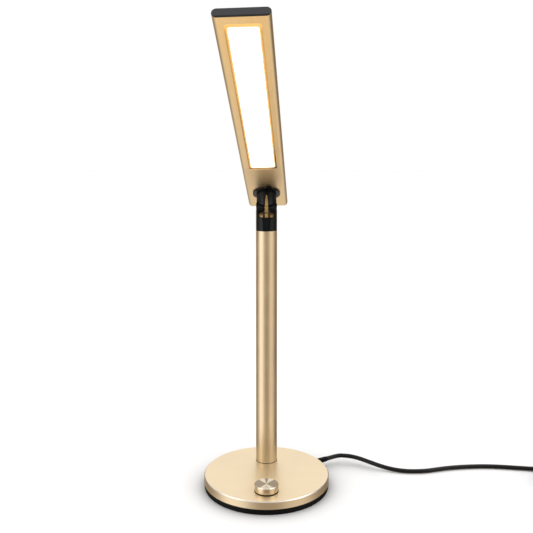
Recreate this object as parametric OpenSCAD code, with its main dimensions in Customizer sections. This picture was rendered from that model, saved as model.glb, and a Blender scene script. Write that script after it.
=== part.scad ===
// Desk lamp: a round weighted base with a dimmer knob, a pole, a tilt and swivel joint and an LED bar head.
// Millimetres, +Z up. The origin is the centre of the base on the surface that the lamp stands on.

/* [Base] */
// Diameter of the gold base cover
base_d = 143.6; // [120:0.1:180]
// Height of the cover's rim
cover_h = 9; // [8:0.1:14]
// Thickness of the cover's top and rim
cover_wall = 2.5; // [1.5:0.1:3]
// Chamfer on the cover's upper edge
cover_chamfer = 0.8; // [0.3:0.1:1.5]
// Thickness of the steel plate that closes the base
plate_h = 3; // [2:0.1:5]
// Thickness of the rubber pad
pad_h = 2.5; // [1.5:0.1:5]
// How far the black foot stands in from the cover's rim
foot_inset = 2.2; // [1:0.1:5]
// Distance of each base screw from the cover's rim
screw_inset = 13.8; // [12:0.1:18]
// Shank diameter of a base screw
screw_d = 3; // [2.5:0.1:4]

/* [Knob] */
// Diameter of the dimmer knob
knob_d = 26.4; // [22:0.1:32]
// Height of the knob
knob_h = 6.7; // [4.5:0.1:10]
// Gap between the base and the knob
knob_gap = 0.9; // [0.6:0.1:2]
// Distance of the knob's axis from the front of the base
knob_inset = 26.3; // [22:0.1:30]
// Diameter of the dimmer's shaft
shaft_d = 6; // [5:0.1:6.4]
// Diameter of the dimmer's threaded bush
bush_d = 9; // [8:0.1:10]

/* [Pole] */
// Outside diameter of the pole
pole_d = 25; // [22:0.1:28]
// Wall of the pole
pole_wall = 1.5; // [1:0.1:2]
// Length of the pole that shows
pole_len = 277; // [200:1:350]
// Distance of the pole's axis from the back of the base
pole_inset = 37.1; // [30:0.1:40]
// Outside diameter of the hollow stud that holds the pole
nipple_d = 10; // [9:0.1:12]
// Bore of the hollow stud
nipple_bore_d = 6; // [5:0.1:7]

/* [Joint] */
// Height of the hinge pin above the top of the pole
pivot_rise = 25.7; // [24:0.1:30]
// Distance from the hinge pin to the flange
flange_z = 18.6; // [17:0.1:22]
// Lean of the head above the horizontal, as photographed
head_tilt = 28; // [0:1:45]
// Turn of the head to the left, as photographed
head_swivel = 3.3; // [-10:0.1:10]
// Diameter of the upper knuckle
knuckle_d = 23.8; // [23:0.1:25]
// Diameter of the flange under the head
flange_d = 32.6; // [28:0.1:38]
// Thickness of the flange
flange_t = 1.3; // [1:0.1:3]
// Radius of the two black hinge cheeks
cheek_r = 6.6; // [6:0.1:6.8]
// Width of the gold hinge tongue
tongue_w = 4; // [3.6:0.1:4.6]
// Thickness of a friction washer
friction_t = 1.7; // [1.4:0.1:2]
// Diameter of the hinge pin
pin_d = 5; // [4:0.1:6]
// Width of the notch in the lower cup
notch_w = 20; // [19:0.1:20.2]
// Depth of the notch below the hinge pin
notch_drop = 9.5; // [9.2:0.1:10]
// Corner radius of the notch
notch_corner_r = 4; // [2:0.1:6]
// Wall of the lower cup
cup_wall = 2.4; // [2:0.1:2.6]
// Width of the channel below the notch
channel_w = 7.6; // [6:0.1:10]
// Diameter of the hollow swivel bolt
swivel_d = 8; // [7:0.1:10]

/* [Head] */
// Length of the head behind the swivel axis
head_rear = 40.4; // [32:0.1:60]
// Width of the head
head_w = 48.1; // [44:0.1:60]
// Thickness of the head
head_t = 8.4; // [8:0.1:10]
// Wall of the head
head_wall = 1.2; // [1:0.1:1.5]
// Corner radius of the head's inner end
head_corner_r = 3.6; // [2:0.1:6]
// Thickness of the dark cap on the tip
cap_t = 2; // [1:0.1:4]
// Distance from the swivel axis to the window
window_start = 65.3; // [60:0.1:80]
// Length of the window
window_len = 270.2; // [200:0.1:320]
// Distance from the window to the cap
window_margin = 8.3; // [8:0.1:20]
// Width of the window
window_w = 31.1; // [26:0.1:33]
// Corner radius of the window
window_r = 3; // [2:0.1:5]
// Thickness of the diffuser
diffuser_t = 1.6; // [1:0.1:2]
// Count of light-emitting diodes along one side
led_count = 18; // [8:1:24]

/* [Cord] */
// Diameter of the cord
cord_d = 5; // [4.6:0.1:5.4]
// Direction of the strain relief, from the right towards the rear
gland_angle = 33.5; // [30:0.5:37]
// Length of the strain relief outside the rim
gland_len = 16; // [13:0.5:18]
// Free gap between the turns of the put-away coil
coil_gap = 0.7; // [0.6:0.1:1.2]

/* [Hidden] */
$fn = 96;

gold = [0.83, 0.71, 0.49];
brass = [0.80, 0.62, 0.33];
black = [0.10, 0.10, 0.11];
dark_grey = [0.28, 0.28, 0.29];
steel = [0.66, 0.67, 0.68];
iron = [0.30, 0.30, 0.31];
board_green = [0.13, 0.36, 0.22];
opal = [0.97, 0.96, 0.92];

// Clearances
fit = 0.05;
loose = 0.3;
cut = 1;

// Heights and radii in the base
plate_z = pad_h;
cover_z = plate_z + plate_h;
base_top = cover_z + cover_h;
room_top = base_top - cover_wall;
room_h = room_top - cover_z;
base_r = base_d / 2;
foot_r = base_r - foot_inset;
pad_r = foot_r - 0.6;
room_r = base_r - cover_wall;
weight_r = room_r - loose;
weight_low = cover_z + fit;
weight_high = room_top - fit;

// Screws and posts
screw_circle_r = base_r - screw_inset;
post_r = screw_d / 2 + 2.5;
screw_angles = [0, 120, 240];
screw_len = plate_h + room_h - 1;
screw_head_r = screw_d;
screw_head_h = screw_head_r - screw_d / 2;
screw_socket_depth = 1.2;
pocket_gap = 1;

// Dimmer, with its axis in front of the base centre
knob_pos = [0, knob_inset - base_r];
knob_r = knob_d / 2;
knob_z = base_top + knob_gap;
dimmer_r = bush_d / 2 + 4;
dimmer_h = room_h - loose;
bush_nut_r = bush_d / 2 + 2.6;
bush_nut_h = 1.8;
bush_top = base_top + bush_nut_h + 0.4;
shaft_low = room_top - dimmer_h + 1.5;
knob_roof = 1.5;
knob_roof_z = knob_z + knob_h - knob_roof;
knob_chamfer = 0.8;
knob_edge = 0.3;

// Driver board, with its parts as [x, y, width, depth, height] boxes and [x, y, radius, height] cans
driver_size = [40, 26];
driver_inset = 42.8;
driver_pos = [base_r - driver_inset, 4];
driver_t = 1.2;
driver_z = cover_z + loose;
driver_pocket_r = 3;
driver_boxes = [[0, -3, 8, 8, 3], [11, 4, 5, 6, 1.4], [-11, -7, 7, 5, 1.6]];
driver_cans = [[-11, 4, 4, 3.2], [12, -6, 2.5, 3.4]];

// Pole
pole_r = pole_d / 2;
pole_bore_r = pole_r - pole_wall;
pole_pos = [0, base_r - pole_inset];
pole_top = base_top + pole_len;
pole_foot_h = 18;
lead_r = nipple_bore_d / 2 - loose;
nipple_nut_h = 4;
nipple_nut_r = nipple_d / 2 + 3.6;
nipple_washer_t = 1.2;
nipple_washer_r = nipple_nut_r + 1.5;
nipple_pocket_r = nipple_washer_r + 1.5;
nipple_top = base_top + pole_foot_h - 2;
nipple_low = room_top - nipple_washer_t - nipple_nut_h - 0.6;

// Joint, with the hinge pin's centre as its own origin
pivot = [pole_pos[0], pole_pos[1], pole_top + pivot_rise];
cup_floor = 4;
spigot_len = 14;
spigot_bore_r = pole_bore_r - 2;
cup_bore_r = pole_r - cup_wall;
cup_rim_z = -2;
ear_r = 6.2;
shoulder_z = ear_r + 0.4;
leaf_gap = 0.1;
slot_half = tongue_w / 2 + friction_t + 2 * leaf_gap;
cheek_out = notch_w / 2 - 0.8;
boss_in = cheek_out + leaf_gap;
cheek_block = 0.85 * cheek_r;
tongue_r = notch_drop + 1;
washer_r = notch_drop - 0.9;
saddle_z = -0.6 * cheek_r;
saddle_lip_z = saddle_z - 1;
saddle_lip_r = pole_r - 0.8;
saddle_foot = cup_floor - pivot_rise + leaf_gap;
channel_foot = 1.2;
channel_depth = 1.4;
channel_flare = 2.6;
channel_top = channel_depth - notch_drop;
channel_low = channel_foot - pivot_rise;
apron_half = notch_w / 2 - 0.8;
apron_drop = 0.5;
knuckle_r = knuckle_d / 2;
blade_top = flange_z - 5.8;
blade_front = tongue_r + 0.6;
blade_back = knuckle_d / 4;
blade_low = -1.2;
blade_seam_h = 0.6;
blade_seam_depth = 0.8;
blade_tip = tongue_w * 0.18;
lug_len = 4;
lug_root = 9.4;
lug_tip = 5;
lug_angle = 9;
swivel_gap = 0.2;
swivel_washer_t = 0.4;
swivel_bolt_wall = 1.5;
swivel_nut_h = 2;
swivel_nut_r = swivel_d / 2 + 3;
yoke_screw_d = 2.5;
yoke_screw_len = cup_floor + 4;
yoke_screw_head_h = 1.8;
yoke_screw_head_r = 0.9 * yoke_screw_d;
yoke_screw_y = (cup_bore_r + lead_r) / 2 - 0.2;
pin_inset = 0.4;

// Head, in its own frame: the tip lies towards -Y, and the underside is at head_z
head_z = flange_z + flange_t + swivel_washer_t + swivel_gap;
head_mid = head_z + head_t / 2;
head_front = window_start + window_len + window_margin;
tip_y = -head_front;
window_mid = -(window_start + window_len / 2);
lip = 2.4;
diffuser_w = window_w + 2 * lip;
diffuser_len = window_len + 2 * lip;
diffuser_z = head_z + head_wall + fit;
cap_plug_len = 4;
sheet_t = 0.4;
sheet_z = head_z + head_t - head_wall - sheet_t - fit;
board_t = 1;
board_low = diffuser_z + diffuser_t + fit;
board_high = sheet_z - fit;
board_x = diffuser_w / 2 - board_t;
board_inset = 2;
board_len = diffuser_len - 2 * board_inset;
chip_size = [1, 3, 1.4];
chip_inset = 5;
chip_run = window_len - 2 * chip_inset;
chip_x = board_x - (board_t + chip_size[0]) / 2 - fit;
swivel_plate_t = 1.6;
swivel_plate_len = 60;
swivel_plate_w = head_w - head_t - 2;
swivel_plate_r = 4;
rivet_d = 3;
rivet_inset = [5, 8];
rivet_x = swivel_plate_w / 2 - rivet_inset[0];
rivet_y = swivel_plate_len / 2 - rivet_inset[1];
wire_d = 2;
wire_from = swivel_nut_r + 1;
wire_to = window_start - lip - 1;
wire_z = head_z + head_wall + swivel_plate_t + wire_d / 2 + 2 * fit;

// Strain reliefs: a collar inside the rim, a neck through it and a ribbed taper outside
cord_r = cord_d / 2;
gland_neck_r = cord_r + 0.6;
gland_collar_r = gland_neck_r + 1.5;
gland_collar_t = 2;
gland_collar_back = cover_wall + gland_collar_t + 0.4;
gland_tip_r = cord_r + 0.3;
gland_ribs = 4;
gland_rib_t = 1.4;
gland_rib_h = 0.2;
groove_w = 2 * (gland_collar_r + loose);
gland_pocket = 14;
cord_exit_h = cover_z + gland_neck_r + 0.4;
gland_in = (base_r - gland_pocket) * [cos(gland_angle), sin(gland_angle)];
boot_ribs = 5;
boot_rib_t = 1.6;
boot_rib_h = 0.3;
boot_base_r = cord_r + 2.1;

// Cord. Its free stretch runs from the strain relief to the coil in hand-chosen points,
// given as x and y from the strain relief's end and height above the floor.
cord_out = [cos(gland_angle), sin(gland_angle), 0];
gland_seat = [0, 0, cord_exit_h] + cord_out * base_r;
cord_start = [0, 0, cord_exit_h] + cord_out * (base_r + gland_len);
cord_run = [[14.8, 5.5, 10.3], [23.8, 5, 10.5], [31.8, 3.5, 10.1], [41.8, -0.5, 9], [52.8, -6.5, 7.3],
    [63.8, -12, 5.5], [74.8, -16, 3.9], [86.8, -19, 2.9], [99.8, -20.5, 2.6], [116.8, -19.5, 2.6],
    [131.8, -15.5, 2.6], [146.8, -11.5, 2.6], [161.8, -9, 2.6], [176.8, -7.5, 2.6], [191.8, -7, 2.6],
    [206.8, -8, 2.6], [221.8, -10, 2.6], [234.8, -12, 2.6], [247.8, -14.3, 2.8], [261.8, -16.9, 3.4]];
coil_from_start = [281.8, -52.5];
lead_run = [[32.5, -18, 20.6], [29.5, -30, 18.6], [25.5, -41, 16], [22, -51, 14.3]];
adapter_from_coil = [21, -80];
cord_rest_h = 2.6;
function on_floor(p, from) = [from[0] + p[0], from[1] + p[1], p[2] - cord_rest_h + cord_r + 0.1];
cord_points = [for (p = cord_run) on_floor(p, cord_start)];
tie_t = 1.2;
tie_w = 8;
tie_r = 4;
tie_angle = 225;
coil_turns = 8.25;
coil_mid_r = 27.5;
coil_pitch = cord_d + coil_gap;
coil_centre = [cord_start[0] + coil_from_start[0], cord_start[1] + coil_from_start[1]];
coil_layers = 4;
coil_rings = 24;
coil_sides = 6;
cord_sides = 10;
coil_z = tie_t + loose + cord_r;
layer_turns = coil_turns / coil_layers;
coil_span = coil_pitch * layer_turns;
coil_out_r = coil_mid_r + coil_span / 2;
coil_in_r = coil_mid_r - coil_span / 2;
tie_in_w = coil_span + cord_d + 2 * loose;
tie_in_h = coil_pitch * (coil_layers - 1) + cord_d + 2 * loose;

// Power supply that lies beside the coil
adapter_size = [38, 62, 28];
adapter_face_t = 3;
adapter_face_inset = 0.6;
adapter_r = 5;
adapter_boot_len = 22;
adapter_pos = coil_centre + adapter_from_coil;
plug_pin_pitch = 19;
plug_pin_r = 2;
plug_pin_len = 17;
lead_points = [for (p = lead_run) on_floor(p, coil_centre)];
lead_end = [adapter_pos[0], adapter_pos[1] + adapter_boot_len, adapter_size[2] / 2];

// A coil's place after s turns: the radius swings in and out, and each swing lies on the one before
function smooth(x) = x <= 0 ? 0 : x >= 1 ? 1 : x * x * (3 - 2 * x);
function layer_of(s) = min(coil_layers - 1, floor(s / layer_turns));
function swing(s) = s / layer_turns - layer_of(s);
function coil_radius(s) = layer_of(s) % 2 == 0
    ? coil_out_r - swing(s) * coil_span
    : coil_in_r + swing(s) * coil_span;
function climb(s, k) = smooth((s - k * layer_turns + 0.25) / 0.5);
function coil_height(s) = coil_z + coil_pitch * (climb(s, 1) + climb(s, 2) + climb(s, 3));
function coil_point(s) = [
    coil_centre[0] + coil_radius(s) * cos(90 - 360 * s),
    coil_centre[1] + coil_radius(s) * sin(90 - 360 * s),
    coil_height(s)];
function unit(v) = v / norm(v);
tiny_turn = 0.002;
coil_in_dir = unit(coil_point(tiny_turn) - coil_point(0));
coil_out_dir = unit(coil_point(coil_turns) - coil_point(coil_turns - tiny_turn));
coil_last = floor(coil_turns * coil_rings);
coil_path = concat(
    [coil_point(0) - coil_in_dir * cord_d],
    [for (i = [0 : coil_last]) coil_point(i / coil_rings)],
    [coil_point(coil_turns) + coil_out_dir * cord_d]);
cord_path = concat([cord_start], cord_points, [coil_path[0]]);
lead_start = coil_path[len(coil_path) - 1];
lead_path = concat([lead_start], lead_points, [lead_end]);

// Least gap of the coil to itself, between rings that are more than half a turn apart
coil_self_gap = min([for (i = [1 : coil_last - 13]) min([for (j = [i + 12 : coil_last])
    norm(coil_path[i] - coil_path[j])])]) - cord_d;
function path_len(p, i = 1) = i >= len(p) ? 0 : norm(p[i] - p[i - 1]) + path_len(p, i + 1);
cord_length = path_len(cord_path) + path_len(coil_path) + path_len(lead_path);
echo(coil_self_gap = coil_self_gap, cord_length = cord_length);

// Tube along points. Its first and last rings stand square to the directions that are given.
function along(p, i, first, last) = i == 0 ? first : i == len(p) - 1 ? last : unit(p[i + 1] - p[i - 1]);
function ring_of(c, t, r, n) =
    let (side = unit(cross(t, [0, 0, 1])), up = cross(side, t))
    [for (j = [0 : n - 1]) c + r * (cos(360 * j / n) * side + sin(360 * j / n) * up)];
module tube(p, r, n, first, last) {
    last_ring = len(p) - 1;
    points = [for (i = [0 : last_ring]) each ring_of(p[i], along(p, i, first, last), r, n)];
    sides = [for (i = [0 : last_ring - 1]) for (j = [0 : n - 1])
        let (a = i * n + j, b = i * n + (j + 1) % n)
        each [[a, b, b + n], [a, b + n, a + n]]];
    start_cap = [for (j = [1 : n - 2]) [0, j + 1, j]];
    end_cap = [for (j = [1 : n - 2]) [last_ring * n, last_ring * n + j, last_ring * n + j + 1]];
    polyhedron(points, concat(sides, start_cap, end_cap));
}

// Frames of the moving groups
module at_pole() { translate([pole_pos[0], pole_pos[1], 0]) children(); }
module at_knob() { translate([knob_pos[0], knob_pos[1], 0]) children(); }
module at_pivot() { translate(pivot) children(); }
module at_tilt() { at_pivot() rotate([-head_tilt, 0, 0]) children(); }
module at_head() { at_tilt() rotate([0, 0, -head_swivel]) children(); }
module at_gland() { translate(gland_seat) rotate([0, 0, gland_angle]) rotate([0, 90, 0]) children(); }
module at_screws() {
    for (a = screw_angles) rotate([0, 0, a]) translate([screw_circle_r, 0, 0]) children();
}
module across(h, r) { rotate([0, 90, 0]) cylinder(h = h, r = r, center = true); }
module slab(x, y, z0, z1) { translate([-x / 2, -y / 2, z0]) cube([x, y, z1 - z0]); }
module ring(r_out, r_in, h) {
    difference() {
        cylinder(h = h, r = r_out);
        translate([0, 0, -cut]) cylinder(h = h + 2 * cut, r = r_in);
    }
}
module hexagon(across_corners_r, h) { cylinder(h = h, r = across_corners_r, $fn = 6); }

// Outline of a rectangle with round corners, and of a flat oval
module round_rect(x, y, r) {
    square([x - 2 * r, y], center = true);
    square([x, y - 2 * r], center = true);
    for (sx = [-1, 1], sy = [-1, 1]) translate([sx * (x / 2 - r), sy * (y / 2 - r)]) circle(r);
}
module flat_oval(w, t) {
    square([w - t, t], center = true);
    for (s = [-1, 1]) translate([s * (w - t) / 2, 0]) circle(t / 2);
}

// Base
module base_cover() {
    color(gold) difference() {
        union() {
            rotate_extrude() polygon([[0, base_top], [base_r - cover_chamfer, base_top],
                [base_r, base_top - cover_chamfer], [base_r, cover_z], [room_r, cover_z],
                [room_r, room_top], [0, room_top]]);
            at_screws() translate([0, 0, cover_z + fit]) cylinder(h = room_h, r = post_r);
        }
        at_screws() translate([0, 0, cover_z - cut]) cylinder(h = screw_len + cut, r = screw_d / 2 + fit);
        at_pole() translate([0, 0, room_top - cut])
            cylinder(h = cover_wall + 2 * cut, r = nipple_d / 2 + fit);
        at_knob() translate([0, 0, room_top - cut]) cylinder(h = cover_wall + 2 * cut, r = bush_d / 2 + fit);
        at_gland() translate([0, 0, -gland_collar_back])
            cylinder(h = gland_collar_back + cut, r = gland_neck_r + fit);
    }
}

module groove(from, to) {
    run = to - from;
    translate(from) rotate(atan2(run[1], run[0])) translate([0, -groove_w / 2]) square([norm(run), groove_w]);
}

module base_weight() {
    color(iron) translate([0, 0, weight_low]) linear_extrude(weight_high - weight_low) difference() {
        circle(weight_r);
        for (a = screw_angles) rotate(a) translate([screw_circle_r, 0]) circle(post_r + pocket_gap);
        translate(pole_pos) circle(nipple_pocket_r);
        translate(knob_pos) circle(dimmer_r + pocket_gap);
        translate(driver_pos)
            round_rect(driver_size[0] + 2 * pocket_gap, driver_size[1] + 2 * pocket_gap, driver_pocket_r);
        groove(driver_pos, pole_pos);
        groove(driver_pos, knob_pos);
        groove(driver_pos, gland_in);
        groove(gland_in, base_r * [cos(gland_angle), sin(gland_angle)]);
    }
}

module base_plate() {
    color(black) difference() {
        translate([0, 0, plate_z]) cylinder(h = plate_h, r = foot_r);
        at_screws() translate([0, 0, plate_z - cut]) cylinder(h = plate_h + 2 * cut, r = screw_d / 2 + fit);
        at_screws() translate([0, 0, plate_z - cut])
            cylinder(h = cut + screw_head_h + fit, r1 = screw_head_r + cut + 2 * fit, r2 = screw_d / 2 + fit);
    }
}

module foot_pad() {
    color(black) difference() {
        cylinder(h = pad_h, r = pad_r);
        at_screws() translate([0, 0, -cut]) cylinder(h = pad_h + 2 * cut, r = screw_head_r + pocket_gap);
    }
}

module base_screws() {
    color(steel) at_screws() translate([0, 0, plate_z]) difference() {
        union() {
            cylinder(h = screw_head_h, r1 = screw_head_r, r2 = screw_d / 2);
            cylinder(h = screw_len - loose, r = screw_d / 2);
        }
        translate([0, 0, -cut]) hexagon(screw_d / 3, cut + screw_socket_depth);
    }
}

// Dimmer
module dimmer_body() {
    color(steel) at_knob() difference() {
        union() {
            translate([0, 0, room_top - dimmer_h]) cylinder(h = dimmer_h - fit, r = dimmer_r);
            translate([0, 0, room_top - cut]) cylinder(h = bush_top - room_top + cut, r = bush_d / 2);
        }
        translate([0, 0, shaft_low - fit]) cylinder(h = bush_top, r = shaft_d / 2 + fit);
    }
}

module dimmer_nut() {
    color(steel) at_knob() translate([0, 0, base_top + fit]) difference() {
        hexagon(bush_nut_r, bush_nut_h);
        translate([0, 0, -cut]) cylinder(h = bush_nut_h + 2 * cut, r = bush_d / 2 + fit);
    }
}

module dimmer_shaft() {
    color(steel) at_knob() translate([0, 0, shaft_low])
        cylinder(h = knob_roof_z - shaft_low, r = shaft_d / 2);
}

// The knob is turned from solid, with a socket for the shaft and a hollow that clears the nut
module dimmer_knob() {
    color(gold) at_knob() difference() {
        translate([0, 0, knob_z]) rotate_extrude()
            polygon([[0, 0], [knob_r - knob_edge, 0], [knob_r, knob_edge], [knob_r, knob_h - knob_chamfer],
                [knob_r - knob_chamfer, knob_h], [0, knob_h]]);
        translate([0, 0, knob_z - cut])
            cylinder(h = knob_roof_z + fit - knob_z + cut, r = shaft_d / 2 + fit / 2);
        translate([0, 0, base_top]) cylinder(h = bush_top + loose - base_top, r = bush_nut_r + 2 * loose);
    }
}

module knob_ring() {
    color(black) at_knob() translate([0, 0, base_top])
        ring(knob_r - pocket_gap, bush_nut_r + loose, knob_gap - loose);
}

module driver_board() {
    color(board_green) translate([driver_pos[0], driver_pos[1], driver_z]) linear_extrude(driver_t)
        round_rect(driver_size[0], driver_size[1], 1);
}

module driver_parts() {
    color(dark_grey) translate([driver_pos[0], driver_pos[1], driver_z + driver_t]) {
        for (b = driver_boxes) translate([b[0], b[1], 0]) slab(b[2], b[3], 0, b[4]);
        for (c = driver_cans) translate([c[0], c[1], 0]) cylinder(h = c[3], r = c[2]);
    }
}

// Strain relief, with its collar clipped to fit between the plate and the cover's top
module cord_gland() {
    rib_step = gland_len / (gland_ribs + 1);
    taper = (gland_neck_r - gland_tip_r) / (gland_ribs + 1);
    color(black) at_gland() difference() {
        union() {
            intersection() {
                translate([0, 0, -gland_collar_back]) cylinder(h = gland_collar_t, r = gland_collar_r);
                translate([0, 0, -base_r]) cube([2 * gland_neck_r - 4 * fit, base_d, base_d], center = true);
            }
            translate([0, 0, fit - gland_collar_back])
                cylinder(h = gland_collar_back + fit, r = gland_neck_r);
            translate([0, 0, fit]) cylinder(h = gland_len - fit, r1 = gland_neck_r, r2 = gland_tip_r);
            for (i = [1 : gland_ribs]) translate([0, 0, i * rib_step - gland_rib_t / 2])
                cylinder(h = gland_rib_t, r = gland_neck_r - taper * i + gland_rib_h);
        }
        translate([0, 0, -gland_collar_back - cut]) cylinder(h = gland_collar_back + cut, r = cord_r);
    }
}

// Cord, coil, lead and tie
module power_cord() { color(black) tube(cord_path, cord_r, cord_sides, cord_out, coil_in_dir); }
module cord_coil() { color(black) tube(coil_path, cord_r, coil_sides, coil_in_dir, coil_out_dir); }
module plug_lead() { color(black) tube(lead_path, cord_r, cord_sides, coil_out_dir, [0, -1, 0]); }

module coil_tie() {
    color(dark_grey) translate([coil_centre[0], coil_centre[1], 0]) rotate([0, 0, tie_angle])
        translate([coil_mid_r, tie_w / 2, tie_t + tie_in_h / 2]) rotate([90, 0, 0]) linear_extrude(tie_w)
        difference() {
            round_rect(tie_in_w + 2 * tie_t, tie_in_h + 2 * tie_t, tie_r);
            round_rect(tie_in_w, tie_in_h, tie_r - tie_t);
        }
}

// Power supply: a rounded body with a pin face on top and a boot for the lead
module at_adapter() { translate([adapter_pos[0], adapter_pos[1] - adapter_size[1] / 2, 0]) children(); }
module adapter_body() {
    color(black) at_adapter() linear_extrude(adapter_size[2] - adapter_face_t)
        round_rect(adapter_size[0], adapter_size[1], adapter_r);
}
module adapter_face() {
    color(black) at_adapter() translate([0, 0, adapter_size[2] - adapter_face_t + fit])
        linear_extrude(adapter_face_t - fit)
        round_rect(adapter_size[0] - 2 * adapter_face_inset, adapter_size[1] - 2 * adapter_face_inset,
            adapter_r - adapter_face_inset);
}
module adapter_pins() {
    color(steel) at_adapter() for (s = [-1, 1])
        translate([s * plug_pin_pitch / 2, -adapter_size[1] / 5, adapter_size[2] + fit]) {
            cylinder(h = plug_pin_len, r = plug_pin_r);
            translate([0, 0, plug_pin_len]) sphere(plug_pin_r);
        }
}
module adapter_boot() {
    rib_step = adapter_boot_len / (boot_ribs + 1);
    taper = (boot_base_r - gland_tip_r) / (boot_ribs + 1);
    color(black) translate(lead_end) rotate([90, 0, 0]) {
        cylinder(h = adapter_boot_len - fit, r1 = gland_tip_r, r2 = boot_base_r);
        for (i = [1 : boot_ribs]) translate([0, 0, i * rib_step - boot_rib_t / 2])
            cylinder(h = boot_rib_t, r = gland_tip_r + taper * i + boot_rib_h);
    }
}

// Pole
module pole_tube() {
    color(gold) at_pole() translate([0, 0, base_top]) ring(pole_r, pole_bore_r, pole_len);
}
module pole_foot() {
    color(steel) at_pole() translate([0, 0, base_top + fit])
        ring(pole_bore_r - fit, nipple_d / 2 + fit, pole_foot_h);
}
module pole_nipple() {
    color(brass) at_pole() translate([0, 0, nipple_low])
        ring(nipple_d / 2, nipple_bore_d / 2, nipple_top - nipple_low);
}
module nipple_washer() {
    color(steel) at_pole() translate([0, 0, room_top - nipple_washer_t - fit])
        ring(nipple_washer_r, nipple_d / 2 + fit, nipple_washer_t);
}
module nipple_nut() {
    nut_low = room_top - nipple_washer_t - nipple_nut_h - 2 * fit;
    color(steel) at_pole() translate([0, 0, nut_low]) difference() {
        hexagon(nipple_nut_r, nipple_nut_h);
        translate([0, 0, -cut]) cylinder(h = nipple_nut_h + 2 * cut, r = nipple_d / 2 + fit);
    }
}
module pole_lead() {
    lead_top = pole_top + cup_floor + spigot_len / 4;
    color(dark_grey) at_pole() translate([0, 0, nipple_low]) cylinder(h = lead_top - nipple_low, r = lead_r);
}

// Joint: the notched cup on the pole, and the gold saddle in it that carries the cheeks
module channel_outline() {
    half = channel_w / 2;
    wide = half + channel_flare;
    waist = (2 * channel_top + channel_low) / 3;
    polygon([[-half, channel_low], [half, channel_low], [half * 1.12, waist], [wide, channel_top],
        [-wide, channel_top], [-half * 1.12, waist]]);
}
module cup_channel() {
    difference() {
        rotate([90, 0, 0]) linear_extrude(pole_r + cut) channel_outline();
        translate([0, 0, -pivot_rise]) cylinder(h = pivot_rise, r = pole_r - channel_depth);
    }
}
module notch_outline(gap, top) {
    half = notch_w / 2 - gap;
    corner_r = notch_corner_r - gap;
    inner = half - corner_r;
    low = gap - notch_drop;
    translate([-half, low + corner_r]) square([2 * half, top - low - corner_r]);
    translate([-inner, low]) square([2 * inner, top - low]);
    for (s = [-1, 1]) translate([s * inner, low + corner_r]) circle(corner_r);
}
module cup_shell() {
    spigot_low = -pivot_rise - spigot_len;
    difference() {
        union() {
            translate([0, 0, -pivot_rise]) cylinder(h = pivot_rise + cup_rim_z, r = pole_r);
            translate([0, 0, spigot_low]) cylinder(h = spigot_len + fit, r = pole_bore_r - fit);
            intersection() {
                translate([0, 0, cup_rim_z - cut]) cylinder(h = ear_r - cup_rim_z + cut, r = pole_r);
                union() {
                    across(2 * pole_r, ear_r);
                    slab(2 * pole_r, 2 * ear_r, cup_rim_z - cut, 0);
                }
            }
        }
        translate([0, 0, cup_floor - pivot_rise]) cylinder(h = pivot_rise + pole_r, r = cup_bore_r);
        rotate([90, 0, 0]) linear_extrude(2 * pole_r + cut, center = true) notch_outline(0, pole_r);
        translate([0, 0, spigot_low - cut])
            cylinder(h = spigot_len + cup_floor + 2 * cut, r = lead_r + loose);
        translate([0, 0, spigot_low - cut]) cylinder(h = spigot_len + cut, r = spigot_bore_r);
        at_yoke_screws() translate([0, 0, -cut])
            cylinder(h = cup_floor + 2 * cut, r = yoke_screw_d / 2 + fit);
        cup_channel();
    }
}
module knuckle_cup() {
    color(black) at_pivot() difference() {
        union() {
            cup_shell();
            for (s = [-1, 1]) translate([s * (boss_in + cup_bore_r + cut) / 2, 0, 0])
                across(cup_bore_r + cut - boss_in, ear_r);
        }
        across(2 * pole_r + cut, pin_d / 2 + fit);
    }
}

module yoke() {
    color(brass) at_pivot() difference() {
        union() {
            translate([0, 0, saddle_foot]) cylinder(h = saddle_z - saddle_foot, r = cup_bore_r - fit);
            intersection() {
                rotate([90, 0, 0]) linear_extrude(pole_r) notch_outline(2 * fit, saddle_lip_z);
                translate([0, 0, -pole_r]) cylinder(h = pole_r + saddle_lip_z, r = saddle_lip_r);
            }
        }
        across(2 * pole_r, cheek_r + loose);
        slab(2 * slot_half, 2 * pole_r, -tongue_r - loose, 0);
        translate([0, 0, saddle_foot - cut]) cylinder(h = pivot_rise, r = lead_r + loose);
        at_yoke_screws() cylinder(h = yoke_screw_len + fit, r = yoke_screw_d / 2 + fit);
    }
}

module at_yoke_screws() {
    for (s = [-1, 1]) translate([0, s * yoke_screw_y, -pivot_rise]) children();
}
module yoke_screws() {
    color(steel) at_pivot() at_yoke_screws() {
        translate([0, 0, -yoke_screw_head_h - fit]) cylinder(h = yoke_screw_head_h, r = yoke_screw_head_r);
        translate([0, 0, -cut]) cylinder(h = yoke_screw_len + cut, r = yoke_screw_d / 2);
    }
}

module hinge_pin() {
    color(steel) at_pivot() across(2 * (pole_r - pin_inset), pin_d / 2);
}

module friction_washers() {
    color(black) at_tilt() for (s = [-1, 1])
        translate([s * (tongue_w / 2 + leaf_gap + friction_t / 2), 0, 0]) difference() {
            across(friction_t, washer_r);
            across(friction_t + cut, pin_d / 2 + fit);
        }
}

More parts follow.
